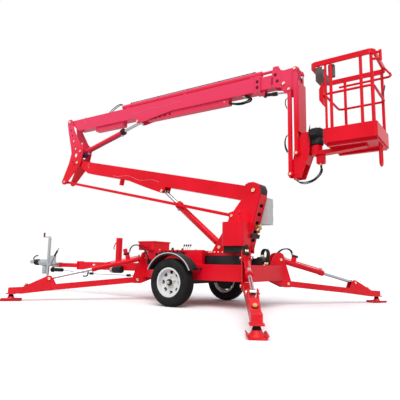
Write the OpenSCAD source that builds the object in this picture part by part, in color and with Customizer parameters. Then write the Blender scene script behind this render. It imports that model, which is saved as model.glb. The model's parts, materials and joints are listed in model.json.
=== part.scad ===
// Towable articulated boom lift on four hydraulic outriggers.
// Lengths in mm. +X forward to the tow coupling, +Y left, +Z up, ground at z = 0.
// Every module is drawn about the slewing axis and then moved so that the
// middle of the machine's plan outline stands over the origin.

/* [Running gear] */
// Wheel axle, forward of the slewing axis
axle_x = 491; // [420:1:560]
// Distance between the middles of the tyres
track = 1526; // [1500:1:1560]
// Tyre outer radius
tyre_r = 340; // [330:1:345]
// Tyre width
tyre_w = 205; // [175:1:215]
// Bead seat radius of the rim
rim_r = 191; // [180:1:200]
// Inset of the wheel disc from the outer flange
disc_inset = 70; // [50:1:80]
// Gap between tyre and mudguard
guard_gap = 66; // [50:1:80]

/* [Chassis] */
// Gap between a tyre and the side beam
beam_gap = 110.5; // [100:0.5:125]
// Underside of the side beams
frame_z0 = 375; // [370:1:400]
// Top of the side beams
frame_z1 = 600; // [590:1:605]
// Width of a side beam
beam_w = 110; // [90:1:140]
// Rear face, behind the slewing axis
frame_tail = 650; // [630:1:690]
// Top of the deck housing
deck_z = 810; // [790:1:820]
// Depth of the drawbar sleeve
sleeve_h = 140; // [120:1:150]
// Depth of the drawbar inner tube
bar_h = 80; // [70:1:90]
// Forward end of the drawbar sleeve
sleeve_x = 3350; // [3200:1:3450]
// Middle of the tow ball
ball_x = 4885; // [4800:1:4950]
// Height of the tow ball
ball_z = 577; // [560:1:590]
// Diameter of the tow ball
ball_d = 50; // [50:0.1:52]

/* [Outriggers] */
// Height of the leg hinge pin
leg_hinge_z = 329; // [325:1:335]
// Reach from hinge to foot
leg_reach = 1907; // [1850:1:1960]
// Rod pin back from the foot
leg_rod_back = 532; // [510:1:550]
// Height of the rod pin
leg_rod_z = 340; // [335:1:345]
// Barrel pin behind the hinge
leg_top_u = 132.5; // [125:0.5:140]
// Height of the barrel pin
leg_top_z = 692; // [685:1:700]
// Width of the leg
leg_w = 100; // [90:1:102]
// Depth of the leg
leg_h = 90; // [80:1:92]
// Length of a foot pad along the leg
pad_l = 300; // [260:1:320]
// Width of a foot pad
pad_w = 190; // [160:1:220]

/* [Column] */
// Width over the column plates
column_w = 235; // [233:1:245]
// Thickness of the boom and column plates
plate_t = 12; // [10:1:12]
// Radius of the slewing ring
ring_r = 335; // [320:1:345]
// Radius of the slewing base
base_r = 372; // [350:1:380]

/* [Booms] */
// Box width of the lower boom
lower_w = 170; // [160:1:172]
// Depth of the lower boom
lower_h = 225; // [215:1:235]
// Box width of the upper boom
upper_w = 170; // [166:1:174]
// Depth of the upper boom
upper_h = 235; // [230:1:240]
// Wall of the upper boom
upper_t = 8; // [6:1:9]
// Gap between upper and inner boom
slide_gap = 8; // [6:1:9]
// Stroke of the telescope
stroke = 2500; // [2000:10:2500]
// Width of a level link bar
link_t = 24; // [20:1:24]
// Depth of a level link bar
link_h = 50; // [44:1:52]
// Width of the knuckle over its plates
knuckle_w = 230; // [228:1:240]

/* [Jib and basket] */
// Length of the jib arm between its pins
jib_l = 1243; // [1200:1:1260]
// Width of a jib bar
jib_bar_w = 44; // [38:1:46]
// Depth of a jib bar
jib_bar_h = 52; // [44:1:56]
// Half width of the basket floor
basket_half_w = 365; // [330:1:390]
// Height of the toe boards above the floor's underside
toe_h = 190; // [150:1:210]
// Top rail above the floor's underside
rail_h = 1100; // [1050:1:1150]
// Middle rail above the floor's underside
mid_rail_h = 660; // [600:1:720]
// Height of the flat top rail
band_h = 66; // [56:1:76]
// Width of the flat top rail
band_w = 30; // [24:1:34]
// Diameter of the other basket tubes
tube_d = 32; // [26:1:33]

/* [Hidden] */
fit = 0.1;
frame_half_w = track / 2 - tyre_w / 2 - beam_gap;
leg_rod_u = leg_reach - leg_rod_back;
// pins of the boom linkage, [x, z] from the slewing axis
P_LOWER = [-481, 1693];
P_KNUCKLE = [3485, 2583];
LINK_V = [365, -360];
P_LINK = P_LOWER + LINK_V;
P_LINK_F = P_KNUCKLE + LINK_V;
P_LCYL = [99, 863];
P_LROD = [1284, 1831];
P_UPPER = [3793, 3482];
P_UCYL = [3415, 2812];
P_UROD = [1910, 3181];
P_HEAD = [-965, 3240];
P_LVL_B = [-600, 3168];
P_LVL_R = [-985, 3130];
P_ARM = [-1152, 3404];
P_ARM_B = P_ARM - [0, jib_l];
JIB_V = [92, -290];
P_JLINK = P_ARM + JIB_V;
P_JLINK_B = P_ARM_B + JIB_V;
P_JROD = P_ARM_B + [17, -290];
turn_x = -1400;
upper_tilt = 0.84;
lower_l = norm(P_KNUCKLE - P_LOWER);
lower_top = 48;
upper_top = 30;
column_in = column_w - 2 * plate_t;
knuckle_in = knuckle_w - 2 * plate_t;
head_in = 166;
// outer pin faces of the head and jib plates
jib_y0 = head_in / 2 + plate_t + 3;
floor_z = 2180;
basket_x0 = -1600;
basket_x1 = -2270;
rail_out = 70;
nose_x = ball_x + 72;
tail_x = basket_x1 - rail_out - 19;
rail_hw = basket_half_w - tube_d / 2 - 12;
rail_xa = basket_x0 - tube_d / 2 - 12;
rail_xb = basket_x1 + tube_d / 2 + 12;
centre_x = (nose_x + tail_x) / 2;
spindle_d = 60;
ring_z = 730;
// outriggers: name, hinge x, hinge y, azimuth of the leg
LEGS = [
  ["fl", 1600, 292, 51.6],
  ["fr", 1600, -292, -51.6],
  ["rl", -639, 639, 120.7],
  ["rr", -639, -639, -120.7]
];
$fn = 48;

// helpers

// a plate from a side outline of [x, z] points, its middle at y
module side_plate(pts, t, y = 0) {
  translate([0, y + t / 2, 0])
    rotate([90, 0, 0])
      linear_extrude(t)
        polygon(pts);
}

// two plates, one each side of a gap
module plate_pair(pts, t, gap) {
  for (s = [-1, 1])
    side_plate(pts, t, s * (gap + t) / 2);
}

// a round bar across the machine
module across(p, d, l, y = 0) {
  translate([p[0], y, p[1]])
    rotate([90, 0, 0])
      cylinder(d = d, h = l, center = true);
}

// the same bar on both sides, from y0 out to y1
module across_pair(p, d, y0, y1) {
  for (s = [-1, 1])
    across(p, d, y1 - y0, s * (y0 + y1) / 2);
}

// a block by its limits, its middle at y
module block(x0, x1, w, z0, z1, y = 0) {
  translate([x0, y - w / 2, z0])
    cube([x1 - x0, w, z1 - z0]);
}

// a round bar along x
module lengthways(x0, x1, d, y, z) {
  translate([x0, y, z])
    rotate([0, 90, 0])
      cylinder(d = d, h = x1 - x0);
}

// children drawn along x from point a towards point b, both [x, z]
module along(a, b) {
  translate([a[0], 0, a[1]])
    rotate([0, -atan2(b[1] - a[1], b[0] - a[0]), 0])
      children();
}

// a straight tube between two points
module strut(a, b, d) {
  v = b - a;
  translate(a)
    rotate([0, acos(v[2] / norm(v)), atan2(v[1], v[0])])
      cylinder(d = d, h = norm(v));
}

// a quarter bend of a tube about a vertical axis, its arms leaving at a0 and a0 + 90
module bend(p, r, d, a0) {
  translate(p)
    rotate([0, 0, a0])
      rotate_extrude(angle = 90)
        translate([r, 0])
          circle(d = d);
}

// cylinder barrel along x from its pin, bored for the rod
module barrel(l, d, rod_d, eye_d, eye_w, pin_d) {
  difference() {
    union() {
      lengthways(eye_d * 0.3, l, d, 0, 0);
      lengthways(l - 60, l + 12, d + 12, 0, 0);
      across([0, 0], eye_d, eye_w);
    }
    across([0, 0], pin_d + fit, eye_w + 2);
    lengthways(eye_d * 0.5 + 12, l + 20, rod_d + fit, 0, 0);
  }
}

// rod along x, its eye at s1
module rod(s0, s1, d, eye_d, eye_w) {
  lengthways(s0, s1, d, 0, 0);
  across([s1, 0], eye_d, eye_w);
}

module at_leg(leg) {
  translate([leg[1], leg[2], 0])
    rotate([0, 0, leg[3]])
      children();
}

// chassis

leg_gap = leg_w + 4;
bracket_pts = [
  [62, 272], [-62, 272], [-330, 380], [-330, 598], [-270, 720], [-205, 786],
  [-132, 800], [-78, 770], [-58, 700], [58, 380]
];

module plan(pts, z0, z1) {
  translate([0, 0, z0])
    linear_extrude(z1 - z0)
      polygon(pts);
}

module chassis_frame() {
  half = frame_half_w;
  inner = half - beam_w;
  color("#c8102e") {
    difference() {
      plan([
        [-frame_tail, -half + 40], [-frame_tail, half - 40], [-frame_tail + 40, half], [900, half],
        [1530, 232], [1750, 92], [1750, -92], [1530, -232], [900, -half], [-frame_tail + 40, -half]
      ], frame_z0, frame_z1);
      plan([[-frame_tail + 120, -inner], [-frame_tail + 120, inner], [330, inner], [330, -inner]],
        frame_z0 - 1, frame_z1 - 12);
      plan([[620, -inner], [620, inner], [880, inner], [1330, 190], [1330, -190], [880, -inner]],
        frame_z0 - 1, frame_z1 - 12);
    }
    difference() {
      plan([[230, -400], [230, 400], [1270, 400], [1400, 320], [1400, -320], [1270, -400]],
        frame_z1 - 1, deck_z);
      translate([0, 0, frame_z1 - 2])
        cylinder(r = base_r + 20, h = deck_z - frame_z1 + 4, $fn = 96);
    }
    for (leg = LEGS)
      at_leg(leg) {
        plate_pair(bracket_pts, plate_t, leg_gap);
        across([0, leg_hinge_z], 40, leg_gap + 2 * plate_t + 16);
        across([-leg_top_u, leg_top_z], 34, leg_gap + 2 * plate_t + 16);
        block(-330, -210, leg_gap + 2, frame_z0, frame_z1);
      }
  }
}

module axle() {
  color("#202124") {
    block(axle_x - 35, axle_x + 35, track - 340, frame_z0 - 70, frame_z0);
    for (s = [-1, 1])
      translate([axle_x, s * (track / 2 - 85), tyre_r])
        rotate([90, 0, 0])
          cylinder(d = spindle_d, h = 210, center = true);
  }
}

module mudguards() {
  r = tyre_r + guard_gap;
  w = tyre_w + 25;
  color("#17181a")
    for (s = [-1, 1]) {
      translate([axle_x, s * (track / 2 - 10), tyre_r])
        scale([1, s, 1])
          rotate([90, 0, 0])
            rotate([0, 0, 25])
              rotate_extrude(angle = 130, $fn = 96)
                polygon([
                  [r, -w / 2], [r + 6, -w / 2], [r + 6, w / 2], [r, w / 2],
                  [r, -w / 2 + 6], [r - 18, -w / 2 + 6], [r - 18, -w / 2]
                ]);
      for (a = [30, 150])
        translate([axle_x + cos(a) * (r + 3), s * (frame_half_w + track / 2) / 2, tyre_r + sin(a) * (r + 3)])
          cube([40, track / 2 - frame_half_w, 16], center = true);
    }
}

// tow gear

module drawbar() {
  z = 532;
  color("#c8102e") {
    block(1750, sleeve_x, 120, z - sleeve_h / 2, z + sleeve_h / 2);
    block(sleeve_x, sleeve_x + 18, 165, z - sleeve_h / 2 - 8, z + sleeve_h / 2 + 12);
    block(sleeve_x + 18, 3960, bar_h, z - bar_h / 2, z + bar_h / 2);
    // pump and motor set under the sleeve
    lengthways(2150, 2400, 120, 96, 480);
  }
}

module tow_coupler() {
  z = 532;
  color("#9aa0a6") {
    difference() {
      union() {
        block(3960, 4160, bar_h + 20, z - 50, z + 50);
        lengthways(4160, 4700, 64, 0, ball_z);
        block(4160, 4330, 60, z - 20, ball_z + 20);
        translate([4680, -38, ball_z - 26])
          cube([ball_x - 4680, 76, 66]);
        translate([ball_x, 0, ball_z - 30])
          cylinder(d = 110, h = 70);
        lengthways(ball_x, ball_x + 72, 60, 0, ball_z + 8);
      }
      translate([ball_x, 0, ball_z])
        sphere(d = ball_d + 0.4);
      translate([ball_x, 0, ball_z - 40])
        cylinder(d = ball_d + 0.4, h = 40);
    }
    // brake lever on its own bracket beside the tube
    block(3980, 4040, 180, z - 10, z + 30, 140);
    translate([4010, 222, z + 10])
      rotate([0, -38, 0])
        cylinder(d = 22, h = 400);
  }
}

module jack_body() {
  x = 4215;
  y = 110;
  color("#a8adb2") {
    difference() {
      union() {
        translate([x, y, 345])
          cylinder(d = 60, h = 735);
        block(x - 45, x + 45, 58.8, 500, 590, 61.6);
      }
      translate([x, y, 300])
        cylinder(d = 48 + fit, h = 720);
    }
    translate([x, y, 1080])
      cylinder(d = 26, h = 30);
    lengthways(x - 13, x + 200, 18, y, 1098);
    translate([x + 190, y, 1089])
      cylinder(d = 26, h = 90);
  }
}

module jack_leg() {
  color("#b4b9be") {
    translate([4215, 110, 150])
      cylinder(d = 48, h = 640);
    translate([4215, 110, 140])
      cylinder(d = 150, h = 12);
  }
}

module boom_rest() {
  color("#c8102e") {
    block(2290, 2370, 80, 532 + sleeve_h / 2, 1047);
  }
}

module power_box() {
  color("#c8102e") {
    block(1126, 1446, 395, deck_z, 930, 239.5);
    block(1114, 1456, 419, 930, 953, 239.5);
  }
}

module control_valves() {
  color("#1b1c1e") {
    block(540, 1000, 60, deck_z - 68, deck_z - 34, 430.1);
    for (i = [0 : 5]) {
      translate([582 + i * 75, 436, deck_z - 35])
        cylinder(d = 10, h = 20);
      translate([582 + i * 75, 436, deck_z - 18])
        sphere(d = 28, $fn = 24);
    }
  }
}

module slew_base() {
  color("#1b1c1e") {
    translate([0, 0, frame_z1])
      cylinder(r = base_r, h = ring_z - frame_z1, $fn = 96);
    translate([0, 0, ring_z - 1])
      cylinder(d = 200, h = 31);
    // slewing motor
    translate([-470, -330, 668])
      rotate([-90, 0, 0])
        cylinder(d = 110, h = 260);
    block(-500, -300, 90, frame_z1, 700, -120);
  }
}

// wheels

module tyre_ring() {
  w = tyre_w / 2;
  half = [
    [rim_r + 0.05, 74], [rim_r + 19, 75], [rim_r + 32, w * 0.86], [rim_r + 72, w], [tyre_r - 58, w * 0.98],
    [tyre_r - 22, w * 0.87], [tyre_r - 6, w * 0.66], [tyre_r, w * 0.34]
  ];
  n = len(half);
  color("#1c1c1e")
    rotate([90, 0, 0])
      rotate_extrude($fn = 96)
        polygon(concat(half, [for (i = [n - 1 : -1 : 0]) [half[i][0], -half[i][1]]]));
}

module rim_disc() {
  flange = 84;
  face = flange - disc_inset;
  color("#eceef0")
    rotate([-90, 0, 0])
      difference() {
        union() {
          rotate_extrude($fn = 96)
            polygon([
              [rim_r - 8, -flange], [rim_r + 17, -flange], [rim_r + 17, -flange + 8], [rim_r, -flange + 8],
              [rim_r, flange - 8], [rim_r + 17, flange - 8], [rim_r + 17, flange], [rim_r - 8, flange]
            ]);
          translate([0, 0, face - 10])
            cylinder(r = rim_r - 4, h = 10, $fn = 96);
          translate([0, 0, -60])
            cylinder(d = 120, h = face + 60);
          translate([0, 0, face])
            cylinder(d = 92, h = 34);
        }
        translate([0, 0, -61])
          cylinder(d = spindle_d + fit, h = 61 + face + 22);
        for (i = [0 : 7])
          rotate([0, 0, 45 * i])
            translate([0, 0, face - 12])
              linear_extrude(14)
                polygon([[118, -20], [158, -34], [164, -20], [166, 0], [164, 20], [158, 34], [118, 20]]);
      }
}

module at_wheel(s) {
  translate([axle_x, s * track / 2, tyre_r])
    rotate([0, 0, s > 0 ? 0 : 180])
      children();
}

// column

column_pts = [
  [232, 772], [232, 805], [-20, 1190], [-60, 1290], [-60, 1380], [-140, 1400], [-272, 1562],
  [-340, 1790], [-400, 1815], [-480, 1815], [-560, 1780], [-592, 1700], [-585, 1640],
  [-370, 860], [-370, 772]
];

module turntable_column() {
  color("#c8102e") {
    difference() {
      translate([0, 0, ring_z + 0.3])
        cylinder(r = ring_r, h = 42, $fn = 96);
      translate([0, 0, ring_z])
        cylinder(d = 200 + fit, h = 31);
    }
    plate_pair(column_pts, plate_t, column_in);
    // rear web with five oval windows
    difference() {
      along([-360, 822], [-583, 1632])
        block(0, norm([-583, 1632] - [-360, 822]), column_in + 2, 0, 10);
      along([-360, 822], [-583, 1632])
        for (i = [0 : 4])
          translate([150 + 130 * i, 0, -5])
            linear_extrude(20) {
              square([50, 70], center = true);
              for (e = [-1, 1])
                translate([0, 35 * e])
                  circle(d = 50);
            }
    }
    across(P_LOWER, 60, column_w + 24);
    across(P_LINK, 40, column_w + 20);
    across(P_LCYL, 50, column_w + 16);
  }
}

module oil_tank() {
  r = 70;
  x0 = -420;
  x1 = -70;
  y0 = column_w / 2;
  y1 = 370;
  color("#c8102e")
    translate([0, 0, 868])
      linear_extrude(347) {
        translate([x0, y0])
          square([x1 - x0, y1 - y0 - r]);
        translate([x0 + r, y0])
          square([x1 - x0 - 2 * r, y1 - y0]);
        for (x = [x0 + r, x1 - r])
          translate([x, y1 - r])
            circle(r = r);
      }
}

module electric_cabinet() {
  color("#cfd2d4")
    block(-600, -350, 170, 1205, 1600, -column_w / 2 - 85);
}

module hose_guide() {
  color("#1b1c1e")
    translate([P_LOWER[0], 0, P_LOWER[1]])
      rotate([90, 0, 0])
        rotate([0, 0, 126])
          rotate_extrude(angle = 82, $fn = 72)
            translate([100, -column_in / 2 + 0.2])
              square([12, column_in - 0.4]);
}

// lower boom

module at_lower() {
  along(P_LOWER, P_KNUCKLE)
    children();
}

function lower_local(p) =
  let (v = p - P_LOWER, u = (P_KNUCKLE - P_LOWER) / lower_l)
  [v * u, v * [-u[1], u[0]]];

module lower_boom() {
  bot = lower_top - lower_h;
  q = lower_local(P_LROD);
  color("#c8102e")
    at_lower() {
      difference() {
        union() {
          side_plate([
            [-40, -62], [-62, -34], [-62, 30], [-44, lower_top], [lower_l + 30, lower_top],
            [lower_l + 62, 26], [lower_l + 62, -30], [lower_l + 30, -58], [lower_l - 90, -76],
            [lower_l - 330, bot], [230, bot], [60, -100]
          ], lower_w);
          across([0, 0], 116, column_in - 4);
          across([lower_l, 0], 108, knuckle_in - 4);
          for (s = [-1, 1])
            side_plate([
              [q[0] - 50, bot + 10], [q[0] - 36, q[1]], [q[0] - 25, q[1] - 26], [q[0], q[1] - 36],
              [q[0] + 60, q[1] - 34], [q[0] + 420, bot - 66], [q[0] + 900, bot + 5]
            ], 15, s * (lower_w / 2 - 7.5));
          across_pair(q, 58, lower_w / 2 - 8, lower_w / 2 + 12);
          // stop on the rear end
          block(58, 84, 60, lower_top - 1, lower_top + 40);
          block(46, 96, 64, lower_top + 38, lower_top + 62);
          // stub that lands on the boom rest
          translate([2830, 0, bot - 110])
            cylinder(d = 85, h = 112);
        }
        across([0, 0], 60 + fit, column_w);
        // opening over the rod eye
        block(q[0] - 260, q[0] + 330, 108, bot - 1, -24);
      }
      across([lower_l, 0], 60, knuckle_w + 26);
    }
}

module level_link() {
  l = norm(P_LINK_F - P_LINK);
  color("#c8102e")
    along(P_LINK, P_LINK_F)
      difference() {
        for (s = [-1, 1]) {
          block(0, l, link_t, -link_h / 2, link_h / 2, s * (60 + link_t / 2));
          for (x = [0, l])
            across([x, 0], 76, link_t + 8, s * (62 + link_t / 2));
        }
        across([0, 0], 40 + fit, 220);
        across([l, 0], 40 + fit, 220);
      }
}

knuckle_pts = [
  [3830, 3545], [3870, 3520], [3880, 3470], [3840, 3300], [3770, 3060], [3731, 2940], [3700, 2800],
  [3760, 2600], [3951, 2233], [3930, 2190], [3880, 2165], [3830, 2168], [3740, 2245],
  [3430, 2520], [3400, 2570], [3352, 2760], [3340, 2870], [3365, 2925], [3460, 3000],
  [3650, 3280], [3730, 3480], [3760, 3540]
];

module knuckle() {
  color("#c8102e") {
    difference() {
      plate_pair(knuckle_pts, plate_t, knuckle_in);
      across(P_KNUCKLE, 60 + fit, knuckle_w + 4);
      across([3560, 2745], 78, knuckle_w + 4);
      across([3590, 2890], 44, knuckle_w + 4);
      across([3660, 3060], 44, knuckle_w + 4);
    }
    across(P_UPPER, 56, knuckle_w + 22);
    across(P_UCYL, 46, knuckle_w + 18);
    across(P_LINK_F, 40, knuckle_w + 18);
  }
}

module lower_barrel() {
  color("#c8102e")
    along(P_LCYL, P_LROD)
      barrel(1120, 94, 60, 104, 106, 50);
}

module lower_rod() {
  color("#d9dde1")
    along(P_LCYL, P_LROD)
      rod(385, norm(P_LROD - P_LCYL), 60, 72, 90);
}

// upper boom, drawn from its pivot with the rear end on minus x

module at_upper() {
  translate([P_UPPER[0], 0, P_UPPER[1]])
    rotate([0, -upper_tilt, 0])
      children();
}

function upper_local(p) =
  let (v = p - P_UPPER)
  [v[0] * cos(upper_tilt) + v[1] * sin(upper_tilt), v[1] * cos(upper_tilt) - v[0] * sin(upper_tilt)];

upper_bot = upper_top - upper_h;
upper_end = -4333;
inner_top = upper_top - upper_t - slide_gap;
inner_bot = upper_bot + upper_t + slide_gap;
inner_w = upper_w - 2 * upper_t - 2 * slide_gap;
ext_n = 100;

module upper_boom() {
  q = upper_local(P_UROD);
  color("#c8102e")
    at_upper() {
      difference() {
        union() {
          side_plate([
            [52, 6], [36, upper_top], [upper_end, upper_top], [upper_end, upper_bot], [-235, upper_bot],
            [-60, -70], [20, -52], [52, -24]
          ], upper_w);
          across([0, 0], 104, knuckle_in - 4);
          block(upper_end - 42, upper_end + 60, upper_w + 22, upper_bot - 11, upper_top + 11);
          for (s = [-1, 1])
            side_plate([
              [q[0] + 62, upper_bot + 5], [q[0] + 40, q[1]], [q[0] + 26, q[1] - 28], [q[0], q[1] - 38],
              [q[0] - 60, q[1] - 36], [q[0] - 420, upper_bot - 52], [q[0] - 830, upper_bot + 5]
            ], 15, s * (upper_w / 2 - 7.5));
          across_pair(q, 56, upper_w / 2 - 8, upper_w / 2 + 12);
          // hose trays under the box
          block(-1480, -733, 112, upper_bot - 88, upper_bot + 1);
          difference() {
            block(-3800, -2090, 112, upper_bot - 88, upper_bot + 1);
            for (i = [0 : 4])
              across([-2160 - 112 * i, upper_bot - 44], 48, 130);
          }
          // saddles of the extension cylinder
          for (x = [-1560, -2900, -4200])
            block(x - 30, x + 30, 70, upper_top - 1, ext_n - 20);
        }
        across([0, 0], 56 + fit, knuckle_w);
        translate([upper_end - 50, -upper_w / 2 + upper_t, upper_bot + upper_t])
          cube([-upper_end - 250, upper_w - 2 * upper_t, upper_h - 2 * upper_t]);
        // round the extension cylinder
        lengthways(-4500, -1300, 86.1, 0, ext_n);
      }
      // slide pads at the mouth and at the back
      for (x = [upper_end - 30, upper_end + 200])
        for (n = [inner_top + 0.2, upper_bot + upper_t - 1])
          translate([x, -40, n])
            cube([60, 80, slide_gap + 0.8]);
    }
}

module extension_barrel() {
  color("#c8102e")
    at_upper()
      difference() {
        lengthways(-4363, -1413, 86, 0, ext_n);
        lengthways(-4364, -1780, 45 + fit, 0, ext_n);
      }
}

module inner_boom() {
  h = upper_local(P_HEAD);
  b = upper_local(P_LVL_B);
  lug = min(b[0] + 40, upper_end - 50);
  color("#c8102e") {
    at_upper() {
      difference() {
        union() {
          translate([-4600, -inner_w / 2, inner_bot])
            cube([3200, inner_w, inner_top - inner_bot]);
          for (s = [-1, 1])
            side_plate([
              [-4560, inner_bot + 4], [-4560, inner_top + 22], [-4580, 130], [-4660, 130],
              [-4700, 60], [h[0] - 10, h[1] + 52], [h[0] - 48, h[1] + 24], [h[0] - 50, h[1] - 20],
              [h[0] - 24, h[1] - 46], [h[0] + 20, h[1] - 48]
            ], 13, s * (head_in / 2 - 9.5));
          // lugs of the levelling cylinder
          for (s = [-1, 1])
            side_plate([
              [lug, inner_bot + 4], [min(b[0] + 26, lug), b[1] - 22], [b[0], b[1] - 32],
              [b[0] - 26, b[1] - 22], [b[0] - 40, inner_bot + 4]
            ], 10, s * 38);
        }
        translate([-4570, -inner_w / 2 + 8, inner_bot + 8])
          cube([3150, inner_w - 16, inner_top - inner_bot - 16]);
      }
      across(b, 26, 96);
      across(h, 50, head_in + 2 * plate_t + 18);
      // extension rod in its lug
      across([-4619, ext_n], 64, head_in - 6);
    }
  }
  color("#d9dde1")
    at_upper()
      lengthways(-4619, -1830, 45, 0, ext_n);
}

module upper_barrel() {
  color("#c8102e")
    along(P_UCYL, P_UROD)
      barrel(1090, 88, 55, 98, 110, 46);
}

module upper_rod() {
  color("#d9dde1")
    along(P_UCYL, P_UROD)
      rod(150, norm(P_UROD - P_UCYL), 55, 68, 90);
}

// jib

jib_head_pts = [
  [-918, 3250], [-930, 3420], [-950, 3446], [-1165, 3452], [-1196, 3425], [-1198, 3385],
  [-1120, 3110], [-1090, 3072], [-1050, 3068], [-975, 3090], [-930, 3150]
];

module jib_head() {
  color("#c8102e") {
    difference() {
      plate_pair(jib_head_pts, plate_t, head_in);
      across(P_HEAD, 50 + fit, 240);
    }
    across(P_ARM, 36, 2 * jib_y0 + 2 * jib_bar_w + 16);
    across_pair(P_JLINK, 36, head_in / 2 + 4, jib_y0 + jib_bar_w + 8);
    across_pair(P_LVL_R, 44, head_in / 2 + plate_t - 2, head_in / 2 + plate_t + 2);
  }
}

module level_barrel() {
  color("#26272a")
    along(P_LVL_B, P_LVL_R)
      barrel(205, 50, 28, 50, 60, 26);
}

module level_rod() {
  color("#d9dde1")
    along(P_LVL_B, P_LVL_R)
      rod(155, norm(P_LVL_R - P_LVL_B), 28, 46, 50);
}

// a pair of bars hanging between two pins
module jib_bars(top, bottom) {
  for (s = [-1, 1])
    difference() {
      union() {
        block(top[0] - jib_bar_h / 2, top[0] + jib_bar_h / 2, jib_bar_w, bottom[1], top[1],
          s * (jib_y0 + jib_bar_w / 2));
        across(top, jib_bar_h + 22, jib_bar_w, s * (jib_y0 + jib_bar_w / 2));
        across(bottom, jib_bar_h + 22, jib_bar_w, s * (jib_y0 + jib_bar_w / 2));
      }
      across(top, 36 + fit, 400);
    }
}

module jib_arm() {
  color("#c8102e") {
    jib_bars(P_ARM, P_ARM_B);
    across_pair(P_ARM_B, 36, head_in / 2 - 3, jib_y0 + 10);
    block(P_ARM[0] - 52, P_ARM[0] - 41, 2 * jib_y0 + 2 * jib_bar_w, P_ARM_B[1] + 300, P_ARM[1] - 190);
    for (s = [-1, 1])
      block(P_ARM[0] - 52, P_ARM[0], 20, P_ARM_B[1] + 300, P_ARM[1] - 190, s * (jib_y0 + jib_bar_w - 14));
  }
}

module jib_link() {
  color("#c8102e") {
    jib_bars(P_JLINK, P_JLINK_B);
    across_pair(P_JLINK_B, 36, head_in / 2 - 3, jib_y0 + 10);
  }
}

module jib_barrel() {
  color("#c8102e")
    along(P_ARM, P_JROD)
      barrel(1000, 64, 40, 78, 150, 36);
}

module jib_rod() {
  color("#d9dde1")
    along(P_ARM, P_JROD)
      rod(460, norm(P_JROD - P_ARM), 40, 58, 70);
}

module basket_bracket() {
  color("#c8102e")
    difference() {
      union() {
        plate_pair([
          [-1015, 1855], [-1030, 1826], [-1060, 1812], [-1200, 1815], [-1318, 2120], [-1330, 2200],
          [-1310, 2450], [-1215, 2450], [-1112, 2205], [-1104, 2150], [-1045, 1925], [-1020, 1895]
        ], plate_t, head_in);
        for (p = [P_JROD, [-1228, 2020], [-1300, 2150]])
          across_pair(p, 44, head_in / 2 + plate_t - 1, head_in / 2 + plate_t + 1.5);
        block(-1330, -1240, head_in + 2, 2260, 2450);
        along([-1268, 2000], [-1318, 2128])
          block(0, 137, head_in + 2, -11, -1);
      }
      for (p = [P_ARM_B, P_JLINK_B])
        across(p, 36 + 2 * fit, 240);
    }
  color("#1b1c1e") {
    translate([turn_x, 0, 2262])
      cylinder(d = 176, h = 226);
    translate([turn_x, 0, floor_z - 72])
      cylinder(d = 60, h = 300);
  }
}

// basket

// a flat block with round upright corners
module rounded_block(x0, x1, half_w, r, z0, z1) {
  translate([0, 0, z0])
    linear_extrude(z1 - z0) {
      translate([x0 + r, -half_w])
        square([x1 - x0 - 2 * r, 2 * half_w]);
      translate([x0, -half_w + r])
        square([x1 - x0, 2 * half_w - 2 * r]);
      for (x = [x0 + r, x1 - r])
        for (s = [-1, 1])
          translate([x, s * (half_w - r)])
            circle(r = r);
    }
}

module basket_floor() {
  loop_x = basket_x1 + 40;
  loop_y = 58;
  color("#c8102e") {
    rounded_block(basket_x1, basket_x0, basket_half_w, 40, floor_z, floor_z + 10);
    // ribs under the floor
    for (s = [-1, 1])
      block(basket_x1 + 30, basket_x0 - 30, 50, floor_z - 34, floor_z + 1, s * (basket_half_w - 95));
    block(basket_x1 + 15, basket_x1 + 65, 2 * basket_half_w - 140, floor_z - 34, floor_z + 1);
    // tapered arm under the floor, ending round the hub
    difference() {
      side_plate([
        [basket_x1 + 200, floor_z + 2], [basket_x1 + 200, floor_z - 30], [basket_x0 + 30, floor_z - 62],
        [turn_x, floor_z - 62], [turn_x, floor_z - 4], [basket_x0 - 9, floor_z - 4],
        [basket_x0 - 9, floor_z + 2]
      ], 120);
      translate([turn_x, 0, floor_z - 80])
        cylinder(d = hub_d + 8 * fit, h = 300);
    }
    // landing loop under the free end
    for (s = [-1, 1])
      translate([loop_x, s * loop_y, floor_z - 240])
        rotate([0, 0, 90])
          cylinder(d = 30, h = 245);
    translate([loop_x, 0, floor_z - 240])
      rotate([90, 0, 90])
        rotate([0, 0, 180])
          rotate_extrude(angle = 180)
            translate([loop_y, 0])
              circle(d = 30);
  }
}

// hub at the end of the arm, turning on the rotator's shaft
hub_d = 150;
module basket_hub() {
  color("#c8102e")
    translate([turn_x, 0, floor_z - 62])
      difference() {
        cylinder(d = hub_d, h = 138);
        translate([0, 0, -1])
          cylinder(d = 60 + fit, h = 140);
      }
}

// toe boards: one bent sheet that stands on the rim of the floor
module basket_toe_boards() {
  color("#c8102e")
    difference() {
      rounded_block(basket_x1, basket_x0, basket_half_w, 40, floor_z + 10, floor_z + toe_h);
      rounded_block(basket_x1 + 6, basket_x0 - 6, basket_half_w - 6, 34, floor_z + 9, floor_z + toe_h + 1);
    }
}

// a round rail all round the basket with bent corners of radius r
module ring_rail(x0, x1, half_w, z, d, r) {
  lengthways(x1 + r, x0 - r, d, half_w, z);
  lengthways(x1 + r, x0 - r, d, -half_w, z);
  for (x = [x0, x1])
    translate([x, 0, z])
      rotate([90, 0, 0])
        cylinder(d = d, h = 2 * (half_w - r), center = true);
  for (c = corners(x0 - r, x1 + r, half_w - r))
    bend([c[0], c[1], z], r, d, c[2]);
}

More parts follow.
